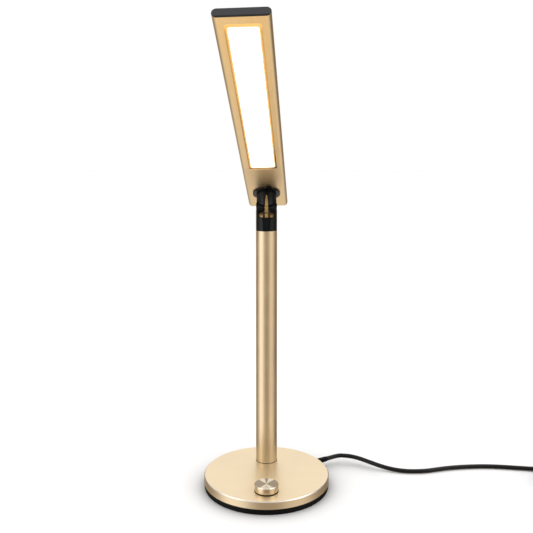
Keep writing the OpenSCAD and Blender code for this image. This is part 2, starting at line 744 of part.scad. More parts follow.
// Upper knuckle: a neck with a front apron, two hinge cheeks and a flange with a stop lug
module blade_outline(grow) {
    half = tongue_w / 2 + grow;
    tip = blade_tip + grow;
    polygon([[-half, blade_low], [half, blade_low], [half * 0.82, blade_top / 2],
        [half * 0.6, blade_top * 0.8], [tip, blade_top + grow], [-tip, blade_top + grow],
        [-half * 0.6, blade_top * 0.8], [-half * 0.82, blade_top / 2]]);
}
module apron() {
    intersection() {
        translate([0, 0, -apron_drop]) cylinder(h = shoulder_z + apron_drop + fit, r = knuckle_r);
        translate([-apron_half, -knuckle_d, -apron_drop]) cube([2 * apron_half, knuckle_d, 2 * knuckle_d]);
        union() {
            translate([0, 0, knuckle_r - apron_drop]) rotate([90, 0, 0])
                cylinder(h = knuckle_d, r = knuckle_r);
            slab(2 * knuckle_r, 2 * knuckle_d, knuckle_r - apron_drop, knuckle_d);
        }
    }
}
module flange() {
    flange_r = flange_d / 2;
    cylinder(h = flange_t, r = flange_r);
    lug_y = -flange_r - lug_len;
    root_y = pocket_gap - flange_r;
    rotate([0, 0, lug_angle]) linear_extrude(flange_t) polygon([[-lug_root / 2, root_y],
        [-lug_tip / 2, lug_y], [lug_tip / 2, lug_y], [lug_root / 2, root_y]]);
}
module upper_knuckle() {
    color(black) at_tilt() difference() {
        union() {
            translate([0, 0, shoulder_z]) cylinder(h = flange_z - shoulder_z + fit, r = knuckle_r);
            translate([0, 0, flange_z]) flange();
            difference() {
                apron();
                slab(2 * knuckle_d, 2 * cheek_block, -knuckle_d, knuckle_d);
            }
            across(2 * cheek_out, cheek_r);
            slab(2 * cheek_out, 2 * cheek_block, 0, shoulder_z + fit);
        }
        across(2 * slot_half, washer_r + loose);
        across(tongue_w + 2 * fit, tongue_r + loose);
        translate([0, blade_back + fit, 0]) rotate([90, 0, 0]) linear_extrude(knuckle_d) blade_outline(fit);
        translate([-tongue_w / 2 - fit, -knuckle_d, -knuckle_d])
            cube([tongue_w + 2 * fit, knuckle_d, knuckle_d]);
        across(2 * knuckle_d, pin_d / 2 + fit);
        translate([0, 0, blade_top]) cylinder(h = flange_z, r = swivel_d / 2 + fit);
    }
}

module hinge_tongue() {
    color(brass) at_tilt() difference() {
        union() {
            across(tongue_w, tongue_r);
            translate([0, blade_back, 0]) rotate([90, 0, 0])
                linear_extrude(blade_back + blade_front) blade_outline(0);
        }
        across(2 * knuckle_d, pin_d / 2 + fit);
        translate([0, -tongue_r, blade_low - blade_seam_h / 2])
            cube([2 * tongue_w, 2 * blade_seam_depth, blade_seam_h], center = true);
    }
}

// Swivel: a hollow bolt through the flange and the head, with a washer and a nut
module swivel_bolt() {
    bolt_low = blade_top + 2 * fit;
    bolt_high = head_z + head_wall + swivel_plate_t + swivel_nut_h + 1;
    color(steel) at_tilt() translate([0, 0, bolt_low])
        ring(swivel_d / 2, swivel_d / 2 - swivel_bolt_wall, bolt_high - bolt_low);
}
module swivel_washer() {
    color(dark_grey) at_tilt() translate([0, 0, flange_z + flange_t])
        ring(knuckle_r + 1, swivel_d / 2 + fit, swivel_washer_t);
}
module swivel_nut() {
    nut_low = head_z + head_wall + swivel_plate_t + fit + swivel_gap;
    color(steel) at_tilt() translate([0, 0, nut_low]) difference() {
        hexagon(swivel_nut_r, swivel_nut_h);
        translate([0, 0, -cut]) cylinder(h = swivel_nut_h + 2 * cut, r = swivel_d / 2 + fit);
    }
}

// Head: a flat-oval bar, closed and rounded at the inner end, open at the tip
module bar(w, t, y0, y1) {
    translate([0, y1, head_mid]) rotate([90, 0, 0]) linear_extrude(y1 - y0) flat_oval(w, t);
}
module head_plan() {
    corner_y = head_rear - head_corner_r;
    translate([-head_w / 2, tip_y]) square([head_w, corner_y - tip_y]);
    translate([head_corner_r - head_w / 2, corner_y - head_corner_r])
        square([head_w - 2 * head_corner_r, 2 * head_corner_r]);
    for (s = [-1, 1]) translate([s * (head_w / 2 - head_corner_r), corner_y]) circle(head_corner_r);
}
module at_rivets() {
    for (sx = [-1, 1], sy = [-1, 1]) translate([sx * rivet_x, sy * rivet_y, 0]) children();
}
module head_housing() {
    color(gold) at_head() difference() {
        intersection() {
            bar(head_w, head_t, tip_y, head_rear);
            translate([0, 0, head_z - cut]) linear_extrude(head_t + 2 * cut) head_plan();
        }
        bar(head_w - 2 * head_wall, head_t - 2 * head_wall, tip_y - cut, head_rear - head_corner_r);
        translate([0, window_mid, head_z - cut]) linear_extrude(head_wall + 2 * cut)
            round_rect(window_w, window_len, window_r);
        translate([0, 0, head_z - cut]) cylinder(h = head_wall + 2 * cut, r = swivel_d / 2 + fit);
        at_rivets() translate([0, 0, head_z + head_t - head_wall - cut])
            cylinder(h = cut + head_wall / 2, r = rivet_d / 2 + fit);
    }
}
module end_cap() {
    plug_w = head_w - 2 * (head_wall + fit);
    plug_t = head_t - 2 * (head_wall + fit);
    color(dark_grey) at_head() difference() {
        union() {
            bar(head_w, head_t, tip_y - cap_t, tip_y - fit);
            bar(plug_w, plug_t, tip_y - fit, tip_y + cap_plug_len);
        }
        bar(plug_w - 2 * head_wall, plug_t - 2 * head_wall, tip_y, tip_y + cap_plug_len + cut);
    }
}
module diffuser() {
    color(opal) at_head() translate([0, window_mid, diffuser_z]) linear_extrude(diffuser_t)
        round_rect(diffuser_w, diffuser_len, window_r);
}
module reflector_sheet() {
    color("white") at_head() translate([0, window_mid, sheet_z]) linear_extrude(sheet_t)
        square([diffuser_w, diffuser_len - pocket_gap], center = true);
}
module led_board() {
    color("white") at_head() for (s = [-1, 1]) translate([s * board_x, window_mid, 0])
        slab(board_t, board_len, board_low, board_high);
}
module led_chips() {
    step = chip_run / (led_count - 1);
    chip_z = (board_low + board_high) / 2;
    color("khaki") at_head() for (s = [-1, 1], i = [0 : led_count - 1])
        translate([s * chip_x, window_mid - chip_run / 2 + i * step, chip_z]) cube(chip_size, center = true);
}
module swivel_plate() {
    color(steel) at_head() translate([0, 0, head_z + head_wall + fit]) difference() {
        linear_extrude(swivel_plate_t) round_rect(swivel_plate_w, swivel_plate_len, swivel_plate_r);
        translate([0, 0, -cut]) cylinder(h = swivel_plate_t + 2 * cut, r = swivel_d / 2 + fit);
        at_rivets() translate([0, 0, -cut]) cylinder(h = swivel_plate_t + 2 * cut, r = rivet_d / 2 + fit);
    }
}
module plate_rivets() {
    rivet_low = head_z + head_wall + 2 * fit;
    rivet_high = head_z + head_t - head_wall / 2 - fit;
    color(steel) at_head() at_rivets() translate([0, 0, rivet_low])
        cylinder(h = rivet_high - rivet_low, r = rivet_d / 2);
}
module head_lead() {
    color("red") at_head() for (s = [-1, 1]) translate([s * wire_d, -wire_to, wire_z])
        rotate([-90, 0, 0]) cylinder(h = wire_to - wire_from, r = wire_d / 2 - fit);
}

base_cover();
base_weight();
base_plate();
foot_pad();
base_screws();
dimmer_body();
dimmer_nut();
dimmer_shaft();
dimmer_knob();
knob_ring();
driver_board();
driver_parts();
cord_gland();
power_cord();
cord_coil();
plug_lead();
coil_tie();
adapter_body();
adapter_face();
adapter_pins();
adapter_boot();
pole_tube();
pole_foot();
pole_nipple();
nipple_washer();
nipple_nut();
pole_lead();
knuckle_cup();
yoke();
yoke_screws();
hinge_tongue();
hinge_pin();
friction_washers();
upper_knuckle();
swivel_bolt();
swivel_washer();
swivel_nut();
head_housing();
end_cap();
diffuser();
reflector_sheet();
led_board();
led_chips();
swivel_plate();
plate_rivets();
head_lead();
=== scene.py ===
"""Looks of a gold desk lamp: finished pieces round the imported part, and a white studio stage.

Every length is in metres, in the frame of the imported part.
The sidebar panel lists the sizes, the colours, the lights and a maker for each group of pieces.
"""

import math

import bmesh
import bpy
from bpy.props import FloatProperty, FloatVectorProperty, PointerProperty
from mathutils import Matrix, Vector


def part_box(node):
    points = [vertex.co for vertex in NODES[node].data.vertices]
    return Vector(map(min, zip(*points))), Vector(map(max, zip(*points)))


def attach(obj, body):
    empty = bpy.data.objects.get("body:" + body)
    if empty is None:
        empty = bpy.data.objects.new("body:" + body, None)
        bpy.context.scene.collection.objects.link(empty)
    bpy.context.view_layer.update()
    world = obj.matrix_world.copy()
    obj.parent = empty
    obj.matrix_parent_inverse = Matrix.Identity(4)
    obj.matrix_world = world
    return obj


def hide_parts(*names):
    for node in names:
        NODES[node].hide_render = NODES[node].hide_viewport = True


bl_info = {
    "name": "Gold desk lamp",
    "version": (1, 0, 0),
    "blender": (4, 5, 0),
    "location": "View3D > Sidebar > Lamp",
    "description": "Finished pieces and stage of a gold desk lamp",
    "category": "Object",
}

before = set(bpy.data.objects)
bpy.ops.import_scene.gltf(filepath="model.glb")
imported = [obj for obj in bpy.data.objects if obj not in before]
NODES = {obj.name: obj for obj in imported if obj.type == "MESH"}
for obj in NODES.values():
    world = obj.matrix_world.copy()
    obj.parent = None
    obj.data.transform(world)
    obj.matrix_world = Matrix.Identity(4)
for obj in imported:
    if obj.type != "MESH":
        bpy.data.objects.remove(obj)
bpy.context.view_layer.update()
FINISH = "finish_"

# The head's own frame: its pivot, its tilt about X and its turn about its own Z at rest
PIVOT = Vector((0.0, 0.0347, 0.3172))
HEAD_TILT = math.radians(-28.0)
HEAD_TURN = math.radians(-3.3)
HEAD_FRAME = (
    Matrix.Translation(PIVOT) @ Matrix.Rotation(HEAD_TILT, 4, "X") @ Matrix.Rotation(HEAD_TURN, 4, "Z")
)

# The lit window and the cap, in the head's own frame
WINDOW_W = 0.0311
WINDOW_TIP = -0.3355
WINDOW_REAR = -0.0653
CAP_TIP = -0.3458
CAP_SEAM = -0.3438
CAP_LOW = 0.0205

# The base's cover and the knob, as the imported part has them
COVER_LOW, COVER_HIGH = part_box("base_cover")
KNOB_LOW, KNOB_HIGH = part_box("dimmer_knob")
KNOB_CENTRE = (KNOB_LOW + KNOB_HIGH) / 2


def length(name, description, default):
    """A length property in metres."""
    return FloatProperty(name=name, description=description, default=default, unit="LENGTH", precision=5)


def colour(name, description, default):
    """A linear colour property."""
    return FloatVectorProperty(
        name=name, description=description, default=default, subtype="COLOR", size=3, min=0.0, max=1.0
    )


def watts(name, description, default):
    """A light's power property in watts."""
    return FloatProperty(name=name, description=description, default=default, unit="POWER")


class LampSizes(bpy.types.PropertyGroup):
    """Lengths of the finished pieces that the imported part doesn't carry."""

    edge_soft: length("Soft edge", "Width of the rounding on metal edges", 0.00025)
    foot_rim: length("Foot radius", "Outer radius of the black foot under the cover", 0.0713)
    cord_radius: length("Cord radius", "Half of the cord's diameter", 0.0025)
    coil_x: length("Coil centre X", "Centre of the put-away coil, across", 0.355)
    coil_y: length("Coil centre Y", "Centre of the put-away coil, in depth", -0.004)
    coil_radius: length("Coil radius", "Middle radius of the coil", 0.0275)
    coil_pitch: length("Coil pitch", "Room of one turn, across and up", 0.0057)
    coil_base: length("Coil height", "Height of the lowest layer's middle", 0.004)
    # The gasket round the pole's foot is a thin black ring that stands for the contact shade there
    gasket_w: length("Gasket width", "How far the gasket stands out round the pole's foot", 0.00025)
    gasket_h: length("Gasket height", "Height of the gasket round the pole's foot", 0.0003)
    knob_cut: length("Knob chamfer", "Width of the polished chamfer round the knob's face", 0.0004)
    # The knob gasket's lip also stands for the shade line under the knob
    knob_lip: length("Knob gasket", "How far the black ring under the knob stands out past it", 0.0003)
    knob_dish: length("Knob dish", "Depth of the knob's hollowed face", 0.00012)
    cap_slide: length("Cap seam", "How far the gold runs out over the cap's wall", 0.0011)
    glow_side: length("Side glow", "Width of the amber band along the window's sides", 0.0028)
    glow_tip: length("Tip glow", "Width of the amber band at the window's far end", 0.0062)
    glow_rear: length("Inner glow", "Width of the amber band at the window's near end", 0.0028)
    glow_corner: length("Glow corner", "Corner radius of the white core", 0.0022)


class LampColours(bpy.types.PropertyGroup):
    """Colours of the finishes."""

    gold: colour("Gold", "Satin anodised gold", (0.88, 0.73, 0.51))
    # The head's gold is partly its own tone and partly painted light: it is warmed to stand for the lit
    # window's warm light
    head_gold: colour("Head gold", "Brushed gold of the head", (0.90, 0.715, 0.45))
    knob: colour("Knob", "Turned and polished faces of the knob", (0.90, 0.80, 0.64))
    # Painted light: the glint and shade of the knob's turned face stand for its reflections; the glint also
    # whitens the cover's cut edge
    painted_glint: colour("Knob glint", "Bright sectors of the knob's turned face", (0.98, 0.95, 0.89))
    painted_knob_shade: colour("Knob shade", "Dim sectors of the knob's turned face", (0.46, 0.39, 0.31))
    brass: colour("Brass", "Hinge blade and leaf", (0.66, 0.45, 0.19))
    # The saddle's brass is a darker copy of the brass: painted shade for the notch it lies in
    painted_shade_brass: colour("Dull brass", "Saddle in the cup", (0.36, 0.24, 0.115))
    black: colour("Black", "Painted joint", (0.0035, 0.0035, 0.0038))
    rubber: colour("Rubber", "Foot, gland and gaskets", (0.003, 0.003, 0.0033))
    cord: colour("Cord", "Cord sheath", (0.0035, 0.0035, 0.0038))
    cap: colour("Cap", "End cap of the head", (0.040, 0.040, 0.043))
    glow: colour("Glow", "Amber band at the window's edge", (0.82, 0.47, 0.14))
    ember: colour("Ember", "Deep end of the amber band", (0.46, 0.22, 0.045))


class StageSettings(bpy.types.PropertyGroup):
    """Strengths of the stage's lights."""

    left: watts("Left box", "Power of the left soft box", 1.5)
    right: watts("Right box", "Power of the right soft box", 1.0)
    top: watts("Top box", "Power of the box overhead", 3.0)


# Meshes

SPIN_STEPS = 128

# Distances within which points are merged
SPUN_MERGE = 1e-7
NODE_MERGE = 2e-6

# Angles: faces closer to flat become one, sharper edges are rounded, and sharper edges aren't smoothed over
FLAT_ANGLE = math.radians(0.5)
EDGE_ANGLE = math.radians(30.0)
SPUN_SHARP = math.radians(32.0)
SOFT_SHARP = math.radians(40.0)

# How near the rim or the seam a point is to move with it
RIM_WALL = 0.002
SEAM_REACH = 0.0008


def add_object(name, data, material, body, slot, *nodes):
    """Links a finished piece, which then stands for the given nodes."""
    piece = bpy.data.objects.new(name, data)
    bpy.context.scene.collection.objects.link(piece)
    data.materials.append(material_of(material))
    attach(piece, body)
    if nodes:
        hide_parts(*nodes)
    return piece


def add_mesh(name, mesh, material, body, slot, *nodes, sharp=SPUN_SHARP):
    """Links the bmesh as a smooth-shaded piece with sharp edges kept."""
    bmesh.ops.recalc_face_normals(mesh, faces=mesh.faces)
    data = bpy.data.meshes.new(name)
    mesh.to_mesh(data)
    mesh.free()
    data.shade_smooth()
    data.set_sharp_from_angle(angle=sharp)
    return add_object(name, data, material, body, slot, *nodes)


def spun(profile, centre):
    """A bmesh of the (radius, height) profile spun about the vertical through the centre."""
    mesh = bmesh.new()
    ring = [mesh.verts.new((centre[0] + r, centre[1], z)) for r, z in profile]
    edges = [mesh.edges.new(pair) for pair in zip(ring, ring[1:])]
    bmesh.ops.spin(
        mesh, geom=ring + edges, cent=(centre[0], centre[1], 0.0), axis=(0, 0, 1), angle=2 * math.pi,
        steps=SPIN_STEPS, use_merge=True,
    )
    bmesh.ops.remove_doubles(mesh, verts=mesh.verts, dist=SPUN_MERGE)
    return mesh


def ring_profile(inner, outer, low, high, cut):
    """The closed profile of a flat ring with its upper outer edge cut off."""
    return [(inner, low), (outer, low), (outer, high - cut), (outer - cut, high), (inner, high), (inner, low)]


def round_edges(mesh, edges, width):
    """Rounds the edges of a bmesh."""
    bmesh.ops.bevel(
        mesh, geom=edges, offset=width, offset_type="OFFSET", affect="EDGES", segments=2, profile=0.5,
        material=-1, clamp_overlap=True,
    )


def softened(node, width):
    """A bmesh copy of a node with its edges rounded."""
    mesh = bmesh.new()
    mesh.from_mesh(NODES[node].data)
    bmesh.ops.remove_doubles(mesh, verts=mesh.verts, dist=NODE_MERGE)
    bmesh.ops.dissolve_limit(
        mesh, angle_limit=FLAT_ANGLE, verts=mesh.verts, edges=mesh.edges, use_dissolve_boundaries=False
    )
    edges = [e for e in mesh.edges if len(e.link_faces) == 2 and e.calc_face_angle() > EDGE_ANGLE]
    round_edges(mesh, edges, width)
    return mesh


def push_rim(mesh, rim):
    """Moves the outer wall of a round mesh out to a radius."""
    reach = max(vert.co.xy.length for vert in mesh.verts)
    for vert in mesh.verts:
        if vert.co.xy.length > reach - RIM_WALL:
            vert.co.xy += vert.co.xy.normalized() * (rim - reach)


def slide_seam(mesh, by):
    """Moves the cut between the head and its cap towards the tip."""
    to_head = HEAD_FRAME.inverted()
    move = HEAD_FRAME.to_3x3() @ Vector((0.0, -by, 0.0))
    seam = [v for v in mesh.verts if abs((to_head @ v.co).y - CAP_SEAM) < SEAM_REACH]
    bmesh.ops.translate(mesh, vec=move, verts=seam)


def add_softened(name, node, material, body, slot, width, rim=None, slide=0.0):
    """Links a softened copy of a node with normals weighted by face area."""
    mesh = softened(node, width)
    if rim:
        push_rim(mesh, rim)
    if slide:
        slide_seam(mesh, slide)
    piece = add_mesh(name, mesh, material, body, slot, node, sharp=SOFT_SHARP)
    weigh = piece.modifiers.new("Weighted normals", "WEIGHTED_NORMAL")
    weigh.keep_sharp = True


def add_plate(name, low, high, material, body, slot, width):
    """Links a thin plate between two corners, given from the pivot, with its edges rounded."""
    mesh = bmesh.new()
    bmesh.ops.create_cube(mesh, size=1.0)
    bmesh.ops.scale(mesh, vec=high - low, verts=mesh.verts)
    bmesh.ops.translate(mesh, vec=PIVOT + (low + high) / 2, verts=mesh.verts)
    round_edges(mesh, mesh.edges, width)
    add_mesh(name, mesh, material, body, slot, sharp=SOFT_SHARP)


# Shader nodes

# Sockets of a Mix node: both inputs and the output, for plain values and for colours
MIX_VALUES = (2, 3, 0)
MIX_COLOURS = (6, 7, 2)


def feed(tree, source, target):
    """Links an output, or sets a plain value."""
    if isinstance(source, bpy.types.NodeSocket):
        tree.links.new(source, target)
    else:
        target.default_value = source


def feed_all(tree, node, **values):
    """Feeds a node's inputs by name, with _ for spaces."""
    for label, value in values.items():
        feed(tree, value, node.inputs[label.replace("_", " ")])


def step_node(tree, kind, operation, values):
    """The outputs of a node that works on its inputs in order."""
    step = tree.nodes.new(kind)
    step.operation = operation
    for value, target in zip(values, step.inputs):
        feed(tree, value, target)
    return step.outputs


def math_node(tree, operation, *values):
    """The output of a Math node."""
    return step_node(tree, "ShaderNodeMath", operation, values)["Value"]


def vector_node(tree, operation, *values):
    """The outputs of a Vector Math node."""
    return step_node(tree, "ShaderNodeVectorMath", operation, values)


def range_node(tree, value, low, high, to_low=0.0, to_high=1.0):
    """The output of a smooth Map Range node."""
    step = tree.nodes.new("ShaderNodeMapRange")
    step.interpolation_type = "SMOOTHSTEP"
    feed_all(tree, step, Value=value, From_Min=low, From_Max=high, To_Min=to_low, To_Max=to_high)
    return step.outputs["Result"]


def mix_node(tree, kind, sockets, factor, a, b):
    """The output of a Mix node."""
    step = tree.nodes.new("ShaderNodeMix")
    step.data_type = kind
    first, second, result = sockets
    feed(tree, factor, step.inputs[0])
    feed(tree, a, step.inputs[first])
    feed(tree, b, step.inputs[second])
    return step.outputs[result]


def mix_colour(tree, factor, a, b):
    """A mix of two colours."""
    return mix_node(tree, "RGBA", MIX_COLOURS, factor, a, b)


def mix_value(tree, factor, a, b):
    """A mix of two plain values."""
    return mix_node(tree, "FLOAT", MIX_VALUES, factor, a, b)


def noise_node(tree, source, scale, detail=2.0, along_line=False):
    """The output of a noise over a place, or along one measure."""
    step = tree.nodes.new("ShaderNodeTexNoise")
    step.noise_dimensions = "1D" if along_line else "3D"
    feed_all(tree, step, Scale=scale, Detail=detail)
    feed(tree, source, step.inputs["W" if along_line else "Vector"])
    return step.outputs["Fac"]


def axes_of(tree, place):
    """The X, Y and Z of a place."""
    step = tree.nodes.new("ShaderNodeSeparateXYZ")
    feed_all(tree, step, Vector=place)
    return step.outputs["X"], step.outputs["Y"], step.outputs["Z"]


def reach_of(tree, place):
    """How far a place is from the vertical through its origin."""
    flat = vector_node(tree, "MULTIPLY", place, (1.0, 1.0, 0.0))
    return vector_node(tree, "LENGTH", flat["Vector"])["Value"]


def place_of(tree, location=(0.0, 0.0, 0.0), rotation=(0.0, 0.0, 0.0)):
    """Object coordinates, moved and turned into a piece's own frame."""
    coords = tree.nodes.new("ShaderNodeTexCoord")
    mapping = tree.nodes.new("ShaderNodeMapping")
    feed_all(tree, mapping, Vector=coords.outputs["Object"], Location=location, Rotation=rotation)
    return mapping.outputs["Vector"]


def head_place(tree):
    """Object coordinates in the head's own frame."""
    turn = Matrix.Rotation(-HEAD_TURN, 3, "Z") @ Matrix.Rotation(-HEAD_TILT, 3, "X")
    return place_of(tree, -(turn @ PIVOT), (-HEAD_TILT, 0.0, -HEAD_TURN))


def add_bump(tree, shader, height, strength, depth):
    """Feeds the shader's normal from a height."""
    bump = tree.nodes.new("ShaderNodeBump")
    feed_all(tree, bump, Strength=strength, Distance=depth, Height=height)
    feed_all(tree, shader, Normal=bump.outputs["Normal"])


# Node groups

# The middle part of a noise's values, which is spread over the whole of a mask
NOISE_SPAN = (0.28, 0.72)
MOTTLE_SCALE = 42.0
MOTTLE_DETAIL = 3.0


def new_group(name, inputs, outputs):
    """An empty shader group with its named sockets."""
    tree = bpy.data.node_groups.new(name, "ShaderNodeTree")
    for label, kind in inputs:
        tree.interface.new_socket(label, in_out="INPUT", socket_type=kind)
    for label, kind in outputs:
        tree.interface.new_socket(label, in_out="OUTPUT", socket_type=kind)
    return tree, tree.nodes.new("NodeGroupInput"), tree.nodes.new("NodeGroupOutput")


def make_fine_grain():
    """Group: a fine stretched grain, and the broad mottle of a handled surface."""
    tree, given, out = new_group(
        "fine_grain", (("Place", "NodeSocketVector"), ("Stretch", "NodeSocketVector")),
        (("Grain", "NodeSocketFloat"), ("Mottle", "NodeSocketFloat")),
    )
    drawn = vector_node(tree, "MULTIPLY", given.outputs["Place"], given.outputs["Stretch"])
    grain = noise_node(tree, drawn["Vector"], 1.0)
    mottle = noise_node(tree, given.outputs["Place"], MOTTLE_SCALE, MOTTLE_DETAIL)
    feed_all(tree, out, Grain=range_node(tree, grain, *NOISE_SPAN))
    feed_all(tree, out, Mottle=range_node(tree, mottle, *NOISE_SPAN))


def make_turned_rings():
    """Group: lathe rings round the vertical through the place's origin."""
    tree, given, out = new_group(
        "turned_rings", (("Place", "NodeSocketVector"), ("Rings per metre", "NodeSocketFloat")),
        (("Rings", "NodeSocketFloat"),),
    )
    reach = reach_of(tree, given.outputs["Place"])
    count = math_node(tree, "MULTIPLY", reach, given.outputs["Rings per metre"])
    rings = noise_node(tree, count, 1.0, along_line=True)
    feed_all(tree, out, Rings=range_node(tree, rings, *NOISE_SPAN))


def use_group(tree, name, **values):
    """A placed group's outputs; the values are its inputs, with _ for spaces."""
    step = tree.nodes.new("ShaderNodeGroup")
    step.node_tree = bpy.data.node_groups[name]
    feed_all(tree, step, **values)
    return step.outputs


# Materials

METAL = 1.0
BLACKENED = (0.0, 0.0, 0.0, 1.0)
GLOSS_SPREAD = 0.1
GRAIN_DEPTH = 0.0001


def even(cells):
    """A grain of as many cells to the metre in every direction."""
    return cells, cells, cells


def shaded(base, part=1.0):
    """A colour scaled by that part, with alpha."""
    return (*(min(c * part, 1.0) for c in base), 1.0)


def new_material(name):
    """An empty node material with its output and a Principled shader, linked."""
    material = bpy.data.materials.new(FINISH + name)
    material.use_nodes = True
    tree = material.node_tree
    tree.nodes.clear()
    out = tree.nodes.new("ShaderNodeOutputMaterial")
    shader = tree.nodes.new("ShaderNodeBsdfPrincipled")
    feed_all(tree, out, Surface=shader.outputs["BSDF"])
    return material, tree, shader


def material_of(name):
    """A material made earlier."""
    return bpy.data.materials[FINISH + name]


def paint(material, *nodes):
    """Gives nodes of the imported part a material."""
    for node in nodes:
        data = NODES[node].data
        data.materials.clear()
        data.materials.append(material_of(material))


def finish(name, base, roughness, metallic=0.0, specular=0.5, stretch=even(1800.0), tint=0.04, bump=0.08,
           place=place_of):
    """A finish whose colour and roughness follow its grain and mottle, with the grain raised."""
    _, tree, shader = new_material(name)
    grain = use_group(tree, "fine_grain", Place=place(tree), Stretch=stretch)
    mask = mix_value(tree, 0.5, grain["Grain"], grain["Mottle"])
    tone = mix_colour(tree, mask, shaded(base, 1 - tint), shaded(base, 1 + tint))
    gloss = mix_value(tree, mask, roughness * (1 - GLOSS_SPREAD), roughness * (1 + GLOSS_SPREAD))
    feed_all(tree, shader, Base_Color=tone, Roughness=gloss, Metallic=metallic, Specular_IOR_Level=specular)
    add_bump(tree, shader, grain["Grain"], bump, GRAIN_DEPTH)
    return tree, shader, tone, gloss


# The painted shade at the pole's foot: the heights between which it fades, and its strength at both
POLE_PAINTED_SHADE = (COVER_HIGH.z + 0.015, COVER_HIGH.z + 0.050, 0.22, 0.0)


def make_gold_pole(tints):
    """Drawn gold, with a painted shade that darkens it towards the pole's foot."""
    tree, shader, tone, _ = finish(
        "gold_pole", tints.gold, roughness=0.40, metallic=METAL, stretch=(620.0, 620.0, 9.0), bump=0.10
    )
    _, _, up = axes_of(tree, place_of(tree))
    # Painted shade: the pole's colour darkens towards its foot
    foot = range_node(tree, up, *POLE_PAINTED_SHADE)
    feed_all(tree, shader, Base_Color=mix_colour(tree, foot, tone, BLACKENED))


# The duller gold under the head, from the window's near end to the joint, where the head's painted warm light
# is left out: plain gold, a little darker and rougher
DULL_ALONG = (WINDOW_REAR - 0.015, WINDOW_REAR + 0.005)
DULL_UNDER = (CAP_LOW + 0.0060, CAP_LOW + 0.0020)
DULL_ROUGHNESS = 0.43
DULL_TINT = 0.97


def make_gold_head(tints):
    """Brushed gold warmed by painted light of the lit window, with plain, duller gold under the head beside
    the joint.
    """
    tree, shader, tone, gloss = finish(
        "gold_head", tints.head_gold, roughness=0.35, metallic=METAL, stretch=(560.0, 10.0, 560.0), bump=0.05,
        place=head_place,
    )
    _, along, up = axes_of(tree, head_place(tree))
    under = range_node(tree, up, *DULL_UNDER)
    dull = math_node(tree, "MULTIPLY", range_node(tree, along, *DULL_ALONG), under)
    # Beside the joint the painted warm light is left out
    tone = mix_colour(tree, dull, tone, shaded(tints.gold, DULL_TINT))
    feed_all(tree, shader, Base_Color=tone, Roughness=mix_value(tree, dull, gloss, DULL_ROUGHNESS))


# The cover's bright cut edge, inside its rim and under its top, a polished cut whose colour is whitened as a
# painted highlight, and the black hem at its lower edge
CUT_W = 0.0008
CUT_REACH = (COVER_HIGH.x - CUT_W - 0.0002, COVER_HIGH.x - CUT_W + 0.0001)
CUT_HEIGHT = (COVER_HIGH.z - CUT_W - 0.0001, COVER_HIGH.z - CUT_W + 0.0002)
CUT_RINGS = 900.0
CUT_ROUGHNESS = (0.30, 0.38)
CUT_PAINTED_GLINT = 0.82
HEM_TOP = COVER_LOW.z + 0.0006
HEM_FADE = (HEM_TOP + 0.00005, HEM_TOP - 0.00005)
HEM_ROUGHNESS = 0.55


def make_gold_cover(tints):
    """Blasted gold with a bright-cut upper edge that carries a painted highlight, and a black painted hem."""
    tree, shader, tone, gloss = finish("gold_cover", tints.gold, roughness=0.40, metallic=METAL)
    place = place_of(tree)
    rings = use_group(tree, "turned_rings", Place=place, Rings_per_metre=CUT_RINGS)
    _, _, up = axes_of(tree, place)
    outer = range_node(tree, reach_of(tree, place), *CUT_REACH)
    cut = math_node(tree, "MULTIPLY", outer, range_node(tree, up, *CUT_HEIGHT))
    hem = range_node(tree, up, *HEM_FADE)
    gloss = mix_value(tree, cut, gloss, mix_value(tree, rings["Rings"], *CUT_ROUGHNESS))
    # Painted highlight: the cut edge's colour is whitened towards the painted glint
    tone = mix_colour(tree, cut, tone, shaded(tints.painted_glint, CUT_PAINTED_GLINT))
    feed_all(
        tree, shader, Base_Color=mix_colour(tree, hem, tone, shaded(tints.rubber)),
        Roughness=mix_value(tree, hem, gloss, HEM_ROUGHNESS),
        Metallic=math_node(tree, "SUBTRACT", METAL, hem),
    )


# The knob's side and its chamfer, whose height is a part of its width
KNOB_SIDE_TINT = 0.88
CHAMFER_RISE = 0.8
CHAMFER_FADE = 0.0001
CHAMFER_ROUGHNESS = 0.14


def make_gold_knob(tints, sizes):
    """Gold turned round the knob's side, with a polished chamfer."""
    side = [c * KNOB_SIDE_TINT for c in tints.gold]
    tree, shader, tone, gloss = finish(
        "gold_knob", side, roughness=0.28, metallic=METAL, stretch=(260.0, 260.0, 3000.0)
    )
    _, _, up = axes_of(tree, place_of(tree))
    edge = KNOB_HIGH.z - sizes.knob_cut * CHAMFER_RISE
    polished = range_node(tree, up, edge - CHAMFER_FADE, edge + CHAMFER_FADE)
    tone = mix_colour(tree, polished, tone, shaded(tints.knob))
    feed_all(tree, shader, Base_Color=tone, Roughness=mix_value(tree, polished, gloss, CHAMFER_ROUGHNESS))


# The knob's turned face, with painted reflections: bright sectors of painted glint, dim sectors and a darker
# back half of painted shade, and painted radial streaks. Its sectors are angles from the line from front to
# back.
FACE_RINGS = 2600.0
FACE_ROUGHNESS = (0.36, 0.48)
FACE_DRAWN = 0.3
FACE_BUMP = 0.10
FACE_DEPTH = 0.00005
FACE_MIDDLE = (-0.001, 0.001)
GLINT_FROM = (0.12, 0.22)
GLINT_TO = (0.62, 0.78)
STREAKS = 14.0
STREAK_SPAN = (0.3, 0.7, 0.0, 0.12)
STREAK_TINT = 0.5
RING_SHADE = 0.08


